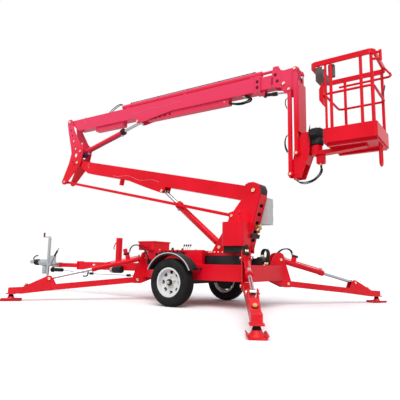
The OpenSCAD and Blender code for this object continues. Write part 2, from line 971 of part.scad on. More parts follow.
// the same in a flat section, w across and h high
module band_rail(x0, x1, half_w, z, w, h, r) {
  for (s = [-1, 1])
    block(x1 + r, x0 - r, w, z - h / 2, z + h / 2, s * half_w);
  for (x = [x0, x1])
    block(x - w / 2, x + w / 2, 2 * (half_w - r), z - h / 2, z + h / 2);
  for (c = corners(x0 - r, x1 + r, half_w - r))
    translate([c[0], c[1], z - h / 2])
      rotate([0, 0, c[2]])
        rotate_extrude(angle = 90)
          translate([r - w / 2, 0])
            square([w, h]);
}

// middles of the four corner bends and the angle each starts at
function corners(x0, x1, y) = [[x0, y, 0], [x1, y, 90], [x1, -y, 180], [x0, -y, 270]];

// where each post stands: x, y and diameter
function post_spots() = [
  for (p = [[rail_xa - 92, rail_hw + 1], [rail_xa - 472, rail_hw + 1], [rail_xb + 17, rail_hw - 17]])
    for (s = [-1, 1])
      [p[0], s * p[1], tube_d + 8],
  [rail_xa - 24, rail_hw + 1, tube_d]
];

module basket_posts(more = 0) {
  color("#c8102e")
    for (p = post_spots())
      translate([p[0], p[1], floor_z + 10])
        cylinder(d = p[2] + more, h = rail_h - 10 - band_h / 2);
}

module basket_rails() {
  z_top = floor_z + rail_h;
  band_x = basket_x1 + 8;
  color("#c8102e") {
    band_rail(basket_x0 + rail_out * 2, band_x, rail_hw + 8, z_top, band_w, band_h, 70);
    // grab loop past the free end: a tube off the far rail and a loop at the near corner
    difference() {
      union() {
        lengthways(tail_x + tube_d / 2 + 60, rail_xa - 10, tube_d, -rail_hw + 2.5, z_top - 100);
        bend([tail_x + tube_d / 2 + 60, -rail_hw + 62.5, z_top - 100], 60, tube_d, 180);
        translate([tail_x + tube_d / 2, -rail_hw + 116, z_top - 100])
          rotate([90, 0, 0])
            cylinder(d = tube_d, h = 53.5);
        strut([tail_x + tube_d / 2, -rail_hw + 92, z_top - 100],
          [band_x + 2, -rail_hw + 140, z_top + 12], tube_d - 6);
        lengthways(tail_x + tube_d, band_x, tube_d, rail_hw - 62, z_top);
        strut([tail_x + tube_d, rail_hw - 62, z_top + tube_d / 2 + 3],
          [tail_x + tube_d, rail_hw - 62, z_top - 116], tube_d + 4);
        strut([tail_x + tube_d, rail_hw - 62, z_top - 96], [rail_xb + 10, rail_hw - 13, z_top - 96], tube_d);
      }
      basket_posts(2 * fit);
    }
  }
}

module basket_mid_rail() {
  z = floor_z + mid_rail_h;
  color("#c8102e") {
    difference() {
      ring_rail(rail_xa, rail_xb, rail_hw, z, tube_d, 60);
      basket_posts(2 * fit);
    }
    // folded paper box on the boom end
    side_plate([
      [rail_xa + 14, z + 170], [rail_xa + 30, z + 170], [rail_xa + 72, z + 90], [rail_xa + 72, z - 60],
      [rail_xa + 30, z - 130], [rail_xa + 14, z - 130]
    ], 130, rail_hw - 75);
  }
}

module control_console() {
  end = basket_x0 + rail_out * 2 - band_w / 2 - 0.2;
  z = floor_z + rail_h;
  color("#3a3c40") {
    side_plate([
      [end - 96, z - 120], [end - 96, z - 20], [end - 70, z + 20], [end, z + 20], [end, z - 170]
    ], 300, 60);
    // switch box on the near post
    block(rail_xa - 130, rail_xa - 54, 62, z - 200, z - 36, rail_hw + 1 - tube_d / 2 - 4 - 31.2);
  }
}

// outriggers, drawn in the plane of the leg with u on x

leg_slope = atan2(179, 1880);

module leg_body(leg) {
  e = leg_reach;
  q = [leg_rod_u, leg_rod_z];
  drop = tan(leg_slope);
  top = leg_hinge_z + leg_h / 2;
  low = leg_hinge_z - leg_h / 2;
  foot_z = 106;
  color("#c8102e")
    at_leg(leg) {
      difference() {
        union() {
          across([0, leg_hinge_z], leg_h + 6, leg_w);
          side_plate([
            [0, low], [0, top], [q[0] - 100, top - drop * (q[0] - 100)], [q[0] - 100, low - drop * (q[0] - 100)]
          ], leg_w - 2);
          // side plates that rise to the rod pin and slope down to the foot
          for (s = [-1, 1])
            side_plate([
              [q[0] - 190, low - drop * (q[0] - 190) + 3], [q[0] - 108, top - drop * (q[0] - 108) - 4],
              [q[0] - 58, q[1] + 12], [q[0] - 20, q[1] + 40], [q[0] + 22, q[1] + 40], [e - 150, 206],
              [e + 43, 198], [e + 43, foot_z + 6], [e - 150, foot_z]
            ], 10, s * (leg_w / 2 - 5));
          side_plate([
            [q[0] - 110, foot_z + 58], [e - 150, foot_z], [e + 43, foot_z + 6], [e + 43, foot_z + 18],
            [e - 150, foot_z + 12], [q[0] - 110, foot_z + 70]
          ], leg_w - 4);
          // sloped cover and end cap between the plates
          side_plate([
            [q[0] + 190, q[1] - 52], [q[0] + 190, q[1] - 40], [e - 150, 204], [e + 43, 196], [e + 43, 184],
            [e - 153, 192]
          ], leg_w - 4);
          block(e + 33, e + 43, leg_w - 4, 112, 196);
          block(e - 70, e + 70, leg_w + 30, 102, 116);
          across_pair(q, 52, leg_w / 2 - 2, leg_w / 2 + 10);
          // foot: stem, hub cone and dished pad
          translate([e, 0, 56])
            cylinder(d = 48, h = 50);
          translate([e, 0, 8])
            cylinder(d1 = 150, d2 = 84, h = 56);
          translate([e - pad_l / 2, 0, 0])
            rotate([90, 0, 90])
              linear_extrude(pad_l)
                polygon([
                  [-pad_w / 2 + 26, 0], [pad_w / 2 - 26, 0], [pad_w / 2, 36], [pad_w / 2 - 10, 36],
                  [pad_w / 2 - 31, 10], [-pad_w / 2 + 31, 10], [-pad_w / 2 + 10, 36], [-pad_w / 2, 36]
                ]);
        }
        across([0, leg_hinge_z], 40 + fit, leg_w + 60);
      }
    }
}

function leg_top() = [-leg_top_u, leg_top_z];
function leg_rod() = [leg_rod_u, leg_rod_z];

module leg_barrel(leg) {
  color("#c8102e")
    at_leg(leg)
      along(leg_top(), leg_rod())
        barrel(880, 80, 48, 84, leg_gap - 8, 34);
}

module leg_piston(leg) {
  color("#d9dde1")
    at_leg(leg)
      along(leg_top(), leg_rod())
        rod(620, norm(leg_rod() - leg_top()), 48, 60, 60);
}

// assembly

module placed() {
  translate([-centre_x, 0, 0])
    children();
}

placed() chassis_frame();
placed() axle();
placed() mudguards();
placed() drawbar();
placed() tow_coupler();
placed() jack_body();
placed() jack_leg();
placed() boom_rest();
placed() power_box();
placed() control_valves();
placed() slew_base();
placed() at_wheel(1) tyre_ring();  // tyre_left
placed() at_wheel(1) rim_disc();  // rim_left
placed() at_wheel(-1) tyre_ring();  // tyre_right
placed() at_wheel(-1) rim_disc();  // rim_right
placed() turntable_column();
placed() oil_tank();
placed() electric_cabinet();
placed() hose_guide();
placed() lower_boom();
placed() level_link();
placed() knuckle();
placed() lower_barrel();
placed() lower_rod();
placed() upper_boom();
placed() extension_barrel();
placed() inner_boom();
placed() upper_barrel();
placed() upper_rod();
placed() jib_head();
placed() level_barrel();
placed() level_rod();
placed() jib_arm();
placed() jib_link();
placed() jib_barrel();
placed() jib_rod();
placed() basket_bracket();
placed() basket_floor();
placed() basket_hub();
placed() basket_toe_boards();
placed() basket_posts();
placed() basket_mid_rail();
placed() basket_rails();
placed() control_console();
placed() leg_body(LEGS[0]);  // leg_fl
placed() leg_barrel(LEGS[0]);  // leg_barrel_fl
placed() leg_piston(LEGS[0]);  // leg_rod_fl
placed() leg_body(LEGS[1]);  // leg_fr
placed() leg_barrel(LEGS[1]);  // leg_barrel_fr
placed() leg_piston(LEGS[1]);  // leg_rod_fr
placed() leg_body(LEGS[2]);  // leg_rl
placed() leg_barrel(LEGS[2]);  // leg_barrel_rl
placed() leg_piston(LEGS[2]);  // leg_rod_rl
placed() leg_body(LEGS[3]);  // leg_rr
placed() leg_barrel(LEGS[3]);  // leg_barrel_rr
placed() leg_piston(LEGS[3]);  // leg_rod_rr
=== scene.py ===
import json
import math

import bpy
from mathutils import Matrix, Vector
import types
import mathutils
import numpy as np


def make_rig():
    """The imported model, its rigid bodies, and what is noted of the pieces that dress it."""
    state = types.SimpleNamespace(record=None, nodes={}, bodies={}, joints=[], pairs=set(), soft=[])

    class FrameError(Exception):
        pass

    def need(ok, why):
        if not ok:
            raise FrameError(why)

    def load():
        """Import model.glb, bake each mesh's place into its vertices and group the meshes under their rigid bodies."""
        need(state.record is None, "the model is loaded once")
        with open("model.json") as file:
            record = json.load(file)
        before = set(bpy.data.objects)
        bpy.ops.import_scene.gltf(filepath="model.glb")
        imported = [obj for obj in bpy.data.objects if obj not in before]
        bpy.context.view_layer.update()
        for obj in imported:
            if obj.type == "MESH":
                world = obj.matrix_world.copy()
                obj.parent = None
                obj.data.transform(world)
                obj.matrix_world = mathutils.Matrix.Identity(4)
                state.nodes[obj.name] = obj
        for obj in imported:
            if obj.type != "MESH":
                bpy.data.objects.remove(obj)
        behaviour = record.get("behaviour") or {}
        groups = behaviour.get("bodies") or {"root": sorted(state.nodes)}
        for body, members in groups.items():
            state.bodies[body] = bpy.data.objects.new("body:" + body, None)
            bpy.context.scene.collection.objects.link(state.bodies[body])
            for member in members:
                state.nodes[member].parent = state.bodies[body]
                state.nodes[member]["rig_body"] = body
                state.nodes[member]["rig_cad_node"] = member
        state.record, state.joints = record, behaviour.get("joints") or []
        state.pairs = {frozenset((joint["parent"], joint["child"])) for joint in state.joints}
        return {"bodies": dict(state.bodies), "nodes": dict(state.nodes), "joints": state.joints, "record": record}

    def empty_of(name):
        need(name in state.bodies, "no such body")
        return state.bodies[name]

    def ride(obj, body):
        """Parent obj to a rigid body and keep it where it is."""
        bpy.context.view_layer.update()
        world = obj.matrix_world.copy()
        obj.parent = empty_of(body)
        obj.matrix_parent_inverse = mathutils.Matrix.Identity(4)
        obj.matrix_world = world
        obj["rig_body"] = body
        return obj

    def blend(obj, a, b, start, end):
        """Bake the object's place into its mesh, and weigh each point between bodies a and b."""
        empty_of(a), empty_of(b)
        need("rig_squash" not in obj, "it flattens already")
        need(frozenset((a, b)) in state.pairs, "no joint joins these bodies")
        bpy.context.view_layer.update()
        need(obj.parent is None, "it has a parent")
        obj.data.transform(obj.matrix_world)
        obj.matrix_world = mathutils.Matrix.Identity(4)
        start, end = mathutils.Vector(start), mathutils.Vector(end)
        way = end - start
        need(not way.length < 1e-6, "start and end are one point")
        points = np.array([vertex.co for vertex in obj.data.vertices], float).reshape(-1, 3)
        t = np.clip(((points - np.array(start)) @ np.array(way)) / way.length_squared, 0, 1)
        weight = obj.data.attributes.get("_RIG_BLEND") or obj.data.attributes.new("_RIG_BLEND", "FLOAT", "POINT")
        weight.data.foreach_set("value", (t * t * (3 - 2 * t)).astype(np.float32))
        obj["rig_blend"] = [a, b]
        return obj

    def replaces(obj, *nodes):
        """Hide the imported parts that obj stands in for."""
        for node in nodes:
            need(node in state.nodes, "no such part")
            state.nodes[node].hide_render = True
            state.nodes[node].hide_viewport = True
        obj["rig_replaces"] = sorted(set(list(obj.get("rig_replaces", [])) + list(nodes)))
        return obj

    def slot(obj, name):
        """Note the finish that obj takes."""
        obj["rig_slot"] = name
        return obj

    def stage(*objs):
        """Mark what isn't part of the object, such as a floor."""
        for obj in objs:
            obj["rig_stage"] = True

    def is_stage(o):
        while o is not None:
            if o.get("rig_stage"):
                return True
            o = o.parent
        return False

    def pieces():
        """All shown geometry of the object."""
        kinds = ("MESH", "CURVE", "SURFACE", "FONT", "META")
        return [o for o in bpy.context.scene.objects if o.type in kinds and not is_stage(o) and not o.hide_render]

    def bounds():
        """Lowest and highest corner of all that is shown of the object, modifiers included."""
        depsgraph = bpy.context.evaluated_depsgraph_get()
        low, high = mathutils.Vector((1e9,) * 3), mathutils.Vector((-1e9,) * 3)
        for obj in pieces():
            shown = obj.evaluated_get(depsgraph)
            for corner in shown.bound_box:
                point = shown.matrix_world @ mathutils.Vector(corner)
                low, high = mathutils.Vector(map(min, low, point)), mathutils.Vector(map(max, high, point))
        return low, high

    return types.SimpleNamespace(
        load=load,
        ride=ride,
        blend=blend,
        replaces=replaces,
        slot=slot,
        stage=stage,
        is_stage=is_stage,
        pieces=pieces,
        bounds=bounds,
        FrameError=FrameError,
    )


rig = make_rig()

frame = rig.load()
cad_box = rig.bounds()

# Chassis: folded and welded steel plate with four outrigger brackets and a deck housing.
# It is sprayed in red enamel with orange peel, rubbed edges and dust low down; the hinge
# pins have pale yellow zinc caps.
SLEW_X = -1.299
SIDES = (-1, 1)
UP = (0, 0, 1)
LEGS = {  # hinge x and y measured from the slewing axis, heading in degrees
    "fl": (1.600, 0.292, 51.6), "fr": (1.600, -0.292, -51.6),
    "rl": (-0.639, 0.639, 120.7), "rr": (-0.639, -0.639, -120.7),
}


class Wire:
    """A shader socket that takes part in sums; node() adds any other node."""

    def __init__(self, tree, socket):
        self.tree = tree
        self.socket = socket

    def node(self, kind, settings=None, out=0, **inputs):
        made = self.tree.nodes.new("ShaderNode" + kind)
        for key, value in (settings or {}).items():
            setattr(made, key, value)
        for key, value in inputs.items():
            plug = made.inputs[int(key[1:]) if key[1:].isdigit() else key.replace("_", " ")]
            if isinstance(value, Wire):
                self.tree.links.new(value.socket, plug)
            else:
                plug.default_value = value
        return Wire(self.tree, made.outputs[out])

    def maths(self, operation, first, second):
        return self.node("Math", {"operation": operation}, i0=first, i1=second)

    def __add__(self, other):
        return self.maths("ADD", self, other)

    __radd__ = __add__

    def __mul__(self, other):
        return self.maths("MULTIPLY", self, other)

    __rmul__ = __mul__

    def span(self, low, high):
        """0 at low, 1 at high, held outside."""
        return self.node("MapRange", Value=self, From_Min=low, From_Max=high)

    def mix(self, first, second):
        """Colour first where this is 0, second where it is 1."""
        pick = [c if isinstance(c, Wire) else (*c, 1.0) for c in (first, second)]
        return self.node("Mix", {"data_type": "RGBA"}, out=2, i0=self, i6=pick[0], i7=pick[1])

    def noise(self, scale, detail=2.0):
        return self.node("TexNoise", Vector=self, Scale=scale, Detail=detail)

    def stretched(self, x, y, z):
        return self.node("Mapping", Vector=self, Scale=(x, y, z))


def new_finish(name, **constants):
    """A material with its fixed values; returns Object coordinates and a function for its links."""
    finish = bpy.data.materials.new(name)
    finish.use_nodes = True
    tree = finish.node_tree
    shader = tree.nodes["Principled BSDF"]
    for socket, value in constants.items():
        shader.inputs[socket.replace("_", " ")].default_value = value

    def link(**wires):
        for socket, wire in wires.items():
            tree.links.new(wire.socket, shader.inputs[socket.replace("_", " ")])
        return finish

    return Wire(tree, tree.nodes.new("ShaderNodeTexCoord").outputs["Object"]), link


def edge_of(place, radius):
    """Normal rounded over the edges, and a mask of those edges."""
    rounded = place.node("Bevel", {"samples": 4}, Radius=radius)
    straight = place.node("NewGeometry", out=1)
    same = place.node("VectorMath", {"operation": "DOT_PRODUCT"}, out=1, i0=rounded, i1=straight)
    return rounded, same.span(0.99, 0.86)


def sprayed(name, deep, bright, pale, shine, painted_highlight=0.0):
    """Sprayed enamel: clouded, with orange peel, rubbed edges, dust low down, and a painted highlight high up that
    turns the red paler pink.
    """
    place, link = new_finish(name, Coat_Weight=0.08, Coat_Roughness=0.12, Specular_IOR_Level=0.13)
    rounded, edge = edge_of(place, 0.004)
    cloud = place.noise(2.3, 3.0)
    peel = place.noise(300.0, 1.0)
    scuff = place.noise(38.0, 4.0)
    height = place.node("SeparateXYZ", out=2, Vector=place)
    dust = height.span(0.55, 0.05) * scuff.span(0.35, 0.75) * 0.2
    rubbed = edge * scuff.span(0.3, 0.65) * 0.45
    fresh = cloud.span(0.3, 0.7).mix(deep, bright)
    # painted highlight: the red turns paler pink from 2.55 m up, fully at 3.3 m, scaled by painted_highlight
    highlighted = (height.span(2.55, 3.3) * painted_highlight).mix(fresh, pale)
    colour = dust.mix(rubbed.mix(highlighted, pale), (0.30, 0.20, 0.16))
    bump = place.node("Bump", Height=peel, Normal=rounded, Strength=0.05, Distance=0.001)
    return link(
        Base_Color=colour, Roughness=shine + cloud * 0.12 + scuff * 0.1 + dust * 0.5, Normal=bump
    )


RED = (0.68, 0.002, 0.012), (0.80, 0.004, 0.020), (0.82, 0.065, 0.16), 0.2
red_enamel = sprayed("red_enamel", *RED)


def plated(name, tint, second, rough):
    """Zinc plate: spangled tint, dull patches, fine grain."""
    place, link = new_finish(name, Metallic=0.85)
    rounded, edge = edge_of(place, 0.002)
    spangle = place.node("TexVoronoi", Vector=place, Scale=90.0)
    grain = place.noise(60.0, 4.0)
    plate = (spangle * 0.6 + grain * 0.5).span(0.2, 0.9).mix(tint, second)
    colour = edge.mix(plate, (0.8, 0.78, 0.74))
    bump = place.node("Bump", Height=grain, Normal=rounded, Strength=0.08, Distance=0.001)
    return link(Base_Color=colour, Roughness=rough + grain * 0.2, Normal=bump)


yellow_zinc = plated("yellow_zinc", (0.70, 0.54, 0.26), (0.88, 0.80, 0.60), 0.24)


def dress(finish, *nodes):
    for node in nodes:
        frame["nodes"][node].data.materials.clear()
        frame["nodes"][node].data.materials.append(finish)


def begin(kind, **size):
    """A new primitive, alone in the selection."""
    bpy.ops.object.select_all(action="DESELECT")
    getattr(bpy.ops.mesh, f"primitive_{kind}_add")(**size)
    return bpy.context.object


def choose(piece, test):
    """Edit mode with the faces selected whose middle and normal pass the test."""
    bpy.ops.object.mode_set(mode="EDIT")
    bpy.ops.mesh.select_mode(type="FACE")
    bpy.ops.mesh.select_all(action="DESELECT")
    bpy.ops.object.mode_set(mode="OBJECT")
    for face in piece.data.polygons:
        face.select = test(face.center, face.normal)
    bpy.ops.object.mode_set(mode="EDIT")


def press(piece, test, inset, push, each=False):
    """Insets the chosen faces and moves them along their normals."""
    choose(piece, test)
    bpy.ops.mesh.inset(thickness=inset, depth=push, use_individual=each)
    bpy.ops.object.mode_set(mode="OBJECT")


def soften(piece, width, steps=2, angle=40):
    """Rounds the sharp edges."""
    bpy.context.view_layer.objects.active = piece
    bpy.ops.object.mode_set(mode="EDIT")
    bpy.ops.mesh.select_mode(type="EDGE")
    bpy.ops.mesh.select_all(action="DESELECT")
    bpy.ops.mesh.edges_select_sharp(sharpness=math.radians(angle))
    bpy.ops.mesh.bevel(offset=width, segments=steps)
    bpy.ops.object.mode_set(mode="OBJECT")


def joined(pieces):
    bpy.ops.object.select_all(action="DESELECT")
    for piece in pieces:
        piece.select_set(True)
    bpy.context.view_layer.objects.active = pieces[0]
    if len(pieces) > 1:
        bpy.ops.object.join()
    return pieces[0]


def in_frame(point):
    """A point measured from the slewing axis, in the part's frame."""
    return Vector((point[0] + SLEW_X, point[1], point[2]))


SMOOTH_BELOW = math.radians(35)


def settle(piece, name, finish, body, slot=None, far=None, span=None):
    """Names a finished piece, fixes its place in its mesh and hangs it on its body. A piece with a
    far body bends over to it between the two points of span, measured from the slewing axis."""
    bpy.ops.object.select_all(action="DESELECT")
    piece.select_set(True)
    bpy.context.view_layer.objects.active = piece
    bpy.ops.object.transform_apply(location=True, rotation=True, scale=True)
    bpy.ops.object.shade_smooth_by_angle(angle=SMOOTH_BELOW)
    piece.name = piece.data.name = name
    if finish:
        piece.data.materials.clear()
        piece.data.materials.append(finish)
    if slot:
        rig.slot(piece, slot)
    if far:
        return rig.blend(piece, body, far, *(in_frame(point) for point in span))
    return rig.ride(piece, body)


def placed(pattern, places):
    """Copies of a pattern at the given places, each with its own mesh, joined."""
    twins = []
    for place in places:
        twin = pattern.copy()
        twin.data = pattern.data.copy()
        bpy.context.collection.objects.link(twin)
        twin.data.transform(place)
        twins.append(twin)
    return joined(twins)


def facing(point, toward, across=1.0, high=1.0):
    """Place at a point from the slewing axis, +Z of the pattern turned toward a direction."""
    turn = Vector(toward).to_track_quat("Z", "Y").to_matrix().to_4x4()
    return Matrix.Translation(in_frame(point)) @ turn @ Matrix.Diagonal((across, across, high, 1.0))


def leg_spot(leg, u, w, z):
    """Point in the plane of an outrigger: u out along it, w to its left, z up."""
    x, y, turn = LEGS[leg]
    c, s = math.cos(math.radians(turn)), math.sin(math.radians(turn))
    return x + u * c - w * s, y + u * s + w * c, z


def leg_left(leg, side):
    turn = math.radians(LEGS[leg][2])
    return -side * math.sin(turn), side * math.cos(turn), 0.0


dress(red_enamel, "chassis_frame")
pin_cap = begin("cylinder", vertices=28, radius=0.5, depth=1.0, location=(0, 0, 0.5))
bpy.ops.object.transform_apply(location=True, rotation=True, scale=True)
press(pin_cap, lambda c, n: n.z > 0.9, 0.1, -0.3)
press(pin_cap, lambda c, n: n.z > 0.9 and c.xy.length < 0.1, 0.16, 0.22)
soften(pin_cap, 0.03)
hex_bolt = begin("cylinder", vertices=6, radius=0.5, depth=0.7, location=(0, 0, 0.65))
soften(hex_bolt, 0.06)
washer = begin("cylinder", vertices=20, radius=0.62, depth=0.3, location=(0, 0, 0.15))
soften(washer, 0.04, steps=1)
hex_bolt = joined([hex_bolt, washer])
bpy.ops.object.transform_apply(location=True, rotation=True, scale=True)
patterns = [pin_cap, hex_bolt]
CAP_HIGH = 0.012
LEG_PIN = (0.042, CAP_HIGH)
M12 = (0.022, 0.016)  # bolt head: width over its corners, height
settle(placed(pin_cap, [
    facing(leg_spot(leg, u, side * 0.071, z), leg_left(leg, side), *LEG_PIN)
    for leg in LEGS for u, z in ((0.0, 0.329), (-0.1325, 0.692)) for side in SIDES
]), "bracket_pins", yellow_zinc, "chassis", "zinc")
DECK_Z = 0.810
DECK_BOLTS = (
    (0.36, 0.375), (0.70, 0.375), (1.06, 0.375), (0.52, -0.375), (0.8, -0.375), (1.06, -0.375),
    (1.29, -0.26),
)
settle(placed(hex_bolt, [
    facing((x, y, DECK_Z), UP, *M12) for x, y in DECK_BOLTS
]), "deck_bolts", yellow_zinc, "chassis", "zinc")

# Axle: a black square steel beam bolted under the side beams, with a stub at each end.
# It carries two pressed mudguards of black plastic with a rolled, lighter edge.


def moulded(name, tint, worn, rough):
    """Moulded or powder-coated dark surface: fine grain, greyed edges."""
    place, link = new_finish(name, Specular_IOR_Level=0.2)
    rounded, edge = edge_of(place, 0.003)
    grain = place.noise(220.0, 2.0)
    smear = place.noise(7.0, 3.0)
    greyed = tuple(2.2 * c + 0.03 for c in worn)
    colour = (edge * 0.4).mix(smear.span(0.25, 0.8).mix(tint, worn), greyed)
    bump = place.node("Bump", Height=grain, Normal=rounded, Strength=0.12, Distance=0.001)
    return link(Base_Color=colour, Roughness=rough + smear * 0.18, Normal=bump)


black_plastic = moulded("black_plastic", (0.012, 0.012, 0.013), (0.026, 0.026, 0.028), 0.42)
black_steel = moulded("black_steel", (0.010, 0.010, 0.011), (0.022, 0.022, 0.024), 0.32)
grey_plastic = moulded("grey_plastic", (0.50, 0.51, 0.51), (0.58, 0.59, 0.58), 0.38)
dress(black_steel, "axle")
dress(black_plastic, "mudguards")
AXLE_X, WHEEL_Y, WHEEL_Z = 0.491, 0.763, 0.340


def tube(points, across, rings=3):
    """A round line through points measured from the slewing axis, as a mesh with closed ends."""
    bpy.ops.object.select_all(action="DESELECT")
    bpy.ops.curve.primitive_bezier_curve_add()
    line = bpy.context.object
    knots = line.data.splines[0].bezier_points
    knots.add(len(points) - 2)
    for knot, point in zip(knots, points):
        knot.handle_left_type = knot.handle_right_type = "AUTO"
        knot.co = in_frame(point)
    line.data.resolution_u = 8
    line.data.bevel_depth = across / 2
    line.data.bevel_resolution = rings
    line.data.use_fill_caps = True
    bpy.ops.object.convert(target="MESH")
    return bpy.context.object


GUARD_R, GUARD_OUT = 0.412, 0.105
settle(joined([
    tube([
        (AXLE_X + GUARD_R * math.cos(math.radians(a)), side * (WHEEL_Y + GUARD_OUT),
         WHEEL_Z + GUARD_R * math.sin(math.radians(a))) for a in range(25, 160, 13)
    ], 0.014) for side in SIDES
]), "mudguard_edges", grey_plastic, "chassis", "grey_plastic")

# Wheels: white pressed discs with windows, road tyres with block tread and sidewall ribs,
# a black hub with a bright grease cap, five plated nuts and a dark brake drum behind the windows.
RIM_R, TYRE_R, TYRE_HALF = 0.191, 0.340, 0.1025
white_enamel = sprayed(
    "white_enamel", (0.70, 0.71, 0.71), (0.80, 0.80, 0.80), (0.86, 0.86, 0.86), 0.24
)
dress(white_enamel, "rim_left", "rim_right")


def rubber(name):
    place, link = new_finish(name, Specular_IOR_Level=0.2)
    rounded, edge = edge_of(place, 0.002)
    dusty = place.noise(9.0, 4.0)
    grain = place.noise(400.0, 2.0)
    grey = edge * 0.3 + dusty.span(0.45, 0.8) * 0.4
    colour = grey.mix((0.009, 0.009, 0.010), (0.040, 0.038, 0.036))
    bump = place.node("Bump", Height=grain, Normal=rounded, Strength=0.2, Distance=0.001)
    return link(Base_Color=colour, Roughness=0.62 + dusty * 0.22, Normal=bump)


tyre_rubber = rubber("tyre_rubber")


def revolve(profile, steps):
    """Turns a profile of (radius, height) points about Z into a closed skin."""
    bpy.ops.object.select_all(action="DESELECT")
    bpy.ops.mesh.primitive_circle_add(vertices=len(profile), radius=1.0)
    turned = bpy.context.object
    for vertex, (r, z) in zip(turned.data.vertices, profile):
        vertex.co = (r, 0.0, z)
    bpy.ops.object.mode_set(mode="EDIT")
    bpy.ops.mesh.select_all(action="SELECT")
    bpy.ops.mesh.spin(steps=steps, angle=2 * math.pi, center=(0, 0, 0), axis=(0, 0, 1))
    bpy.ops.mesh.select_all(action="SELECT")
    bpy.ops.mesh.remove_doubles(threshold=0.00001)
    bpy.ops.mesh.normals_make_consistent(inside=False)
    bpy.ops.object.mode_set(mode="OBJECT")
    return turned


TREAD, BLOCKS, BLOCK_GAP, ARROW = 0.007, 84, 0.0028, 0.55
CROWN_R, BLOCK_R = TYRE_R - 0.026, TYRE_R - 0.0195
half_tyre = [
    (RIM_R + 0.0005, 0.073), (RIM_R + 0.019, 0.075), (RIM_R + 0.030, TYRE_HALF * 0.87),
    (RIM_R + 0.042, TYRE_HALF * 0.955), (RIM_R + 0.044, TYRE_HALF * 0.985),
    (RIM_R + 0.050, TYRE_HALF * 0.99), (RIM_R + 0.052, TYRE_HALF * 0.97),
    (RIM_R + 0.072, TYRE_HALF), (TYRE_R - 0.058, TYRE_HALF * 0.985),
    (TYRE_R - 0.046, TYRE_HALF * 0.965), (TYRE_R - 0.044, TYRE_HALF * 0.985),
    (TYRE_R - 0.036, TYRE_HALF * 0.965), (TYRE_R - 0.034, TYRE_HALF * 0.935),
    (TYRE_R - 0.024, TYRE_HALF * 0.88),
    (TYRE_R - 0.010 - TREAD, TYRE_HALF * 0.74), (TYRE_R - 0.001 - TREAD, TYRE_HALF * 0.46),
    (TYRE_R - TREAD, TYRE_HALF * 0.16),
]
tyre_shape = revolve(half_tyre + [(r, -z) for r, z in reversed(half_tyre)], BLOCKS)
# the grooves run in a shallow arrow, so the crown is twisted from its middle outwards
for vertex in tyre_shape.data.vertices:
    if vertex.co.xy.length > CROWN_R:
        vertex.co = Matrix.Rotation(ARROW * abs(vertex.co.z), 3, "Z") @ vertex.co
press(tyre_shape, lambda c, n: c.xy.length > BLOCK_R, BLOCK_GAP, TREAD, each=True)
wheel_nut = begin("cylinder", vertices=6, radius=0.5, depth=0.7, location=(0, 0, 0.35))
press(wheel_nut, lambda c, n: n.z > 0.9, 0.12, 0.25)
soften(wheel_nut, 0.05)
bpy.ops.object.transform_apply(location=True, rotation=True, scale=True)
hub_cap = revolve([
    (0.0, 0.0), (0.046, 0.0), (0.046, 0.020), (0.040, 0.030), (0.030, 0.033), (0.0, 0.034)
], 40)
grease_cap = revolve([
    (0.0, 0.0), (0.024, 0.0), (0.024, 0.012), (0.020, 0.022), (0.011, 0.027), (0.0, 0.028)
], 28)
brake_drum = revolve([
    (0.0, -0.020), (0.150, -0.020), (0.154, -0.024), (0.154, -0.050), (0.148, -0.054),
    (0.148, -0.066), (0.0, -0.068)
], 48)
bright_steel = plated("bright_steel", (0.58, 0.60, 0.62), (0.74, 0.75, 0.76), 0.22)
patterns += [tyre_shape, wheel_nut, hub_cap, grease_cap, brake_drum]
NUT, NUT_R, NUT_COUNT = (0.026, 0.022), 0.07, 5
NUT_OUT, HUB_OUT, GREASE_OUT = 0.014, 0.047, 0.079
for side, name in ((1, "left"), (-1, "right")):
    body = "wheel_" + name
    out = (0, side, 0)
    for pattern, kind, off, finish, slot in (
        (tyre_shape, "road_tyre_", 0.0, tyre_rubber, "tyre"),
        (hub_cap, "hub_cap_", HUB_OUT, black_plastic, "black_plastic"),
        (grease_cap, "grease_cap_", GREASE_OUT, bright_steel, "zinc"),
        (brake_drum, "brake_drum_", 0.0, black_steel, "black_steel"),
    ):
        spot = (AXLE_X, side * (WHEEL_Y + off), WHEEL_Z)
        piece = settle(placed(pattern, [facing(spot, out)]), kind + name, finish, body, slot)
        if pattern == tyre_shape:
            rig.replaces(piece, "tyre_" + name)
    turns = [2 * math.pi * i / NUT_COUNT + 0.3 for i in range(NUT_COUNT)]
    settle(placed(wheel_nut, [
        facing((AXLE_X + NUT_R * math.cos(a), side * (WHEEL_Y + NUT_OUT), WHEEL_Z + NUT_R * math.sin(a)),
               out, *NUT) for a in turns
    ]), "wheel_nuts_" + name, yellow_zinc, body, "zinc")

# Tow gear: red steel drawbar sleeve with a flanged inner tube and a pump set below it; bolted to
# it are a galvanised overrun coupling with a rubber boot, a damper, a hand brake lever and a
# jack tube with a crank.
galvanised = plated("galvanised", (0.42, 0.44, 0.46), (0.60, 0.62, 0.63), 0.3)
dress(red_enamel, "drawbar", "boom_rest")
dress(galvanised, "tow_coupler", "jack_body", "jack_leg")
black_rubber = moulded("black_rubber", (0.009, 0.009, 0.009), (0.018, 0.018, 0.018), 0.5)
BAR_Z, BALL_Z, FLANGE_X = 0.532, 0.577, 3.35
AHEAD, LEFT = (1, 0, 0), (0, 1, 0)


def slab(x, y, z):
    """A plain block about the origin."""
    made = begin("cube", size=1.0)
    made.dimensions = (x, y, z)
    bpy.ops.object.transform_apply(location=True, rotation=True, scale=True)
    return made


def casting(size, rim, sink, edge):
    """A block with a sunk or raised field on its upper face and rounded edges."""
    made = slab(*size)
    press(made, lambda c, n: n.z > 0.9, rim, sink)
    soften(made, edge)
    return made


def fixed(pattern, places, *names):
    """Settles the copies of a pattern that is used only here."""
    settle(placed(pattern, places), *names)
    bpy.data.objects.remove(pattern)


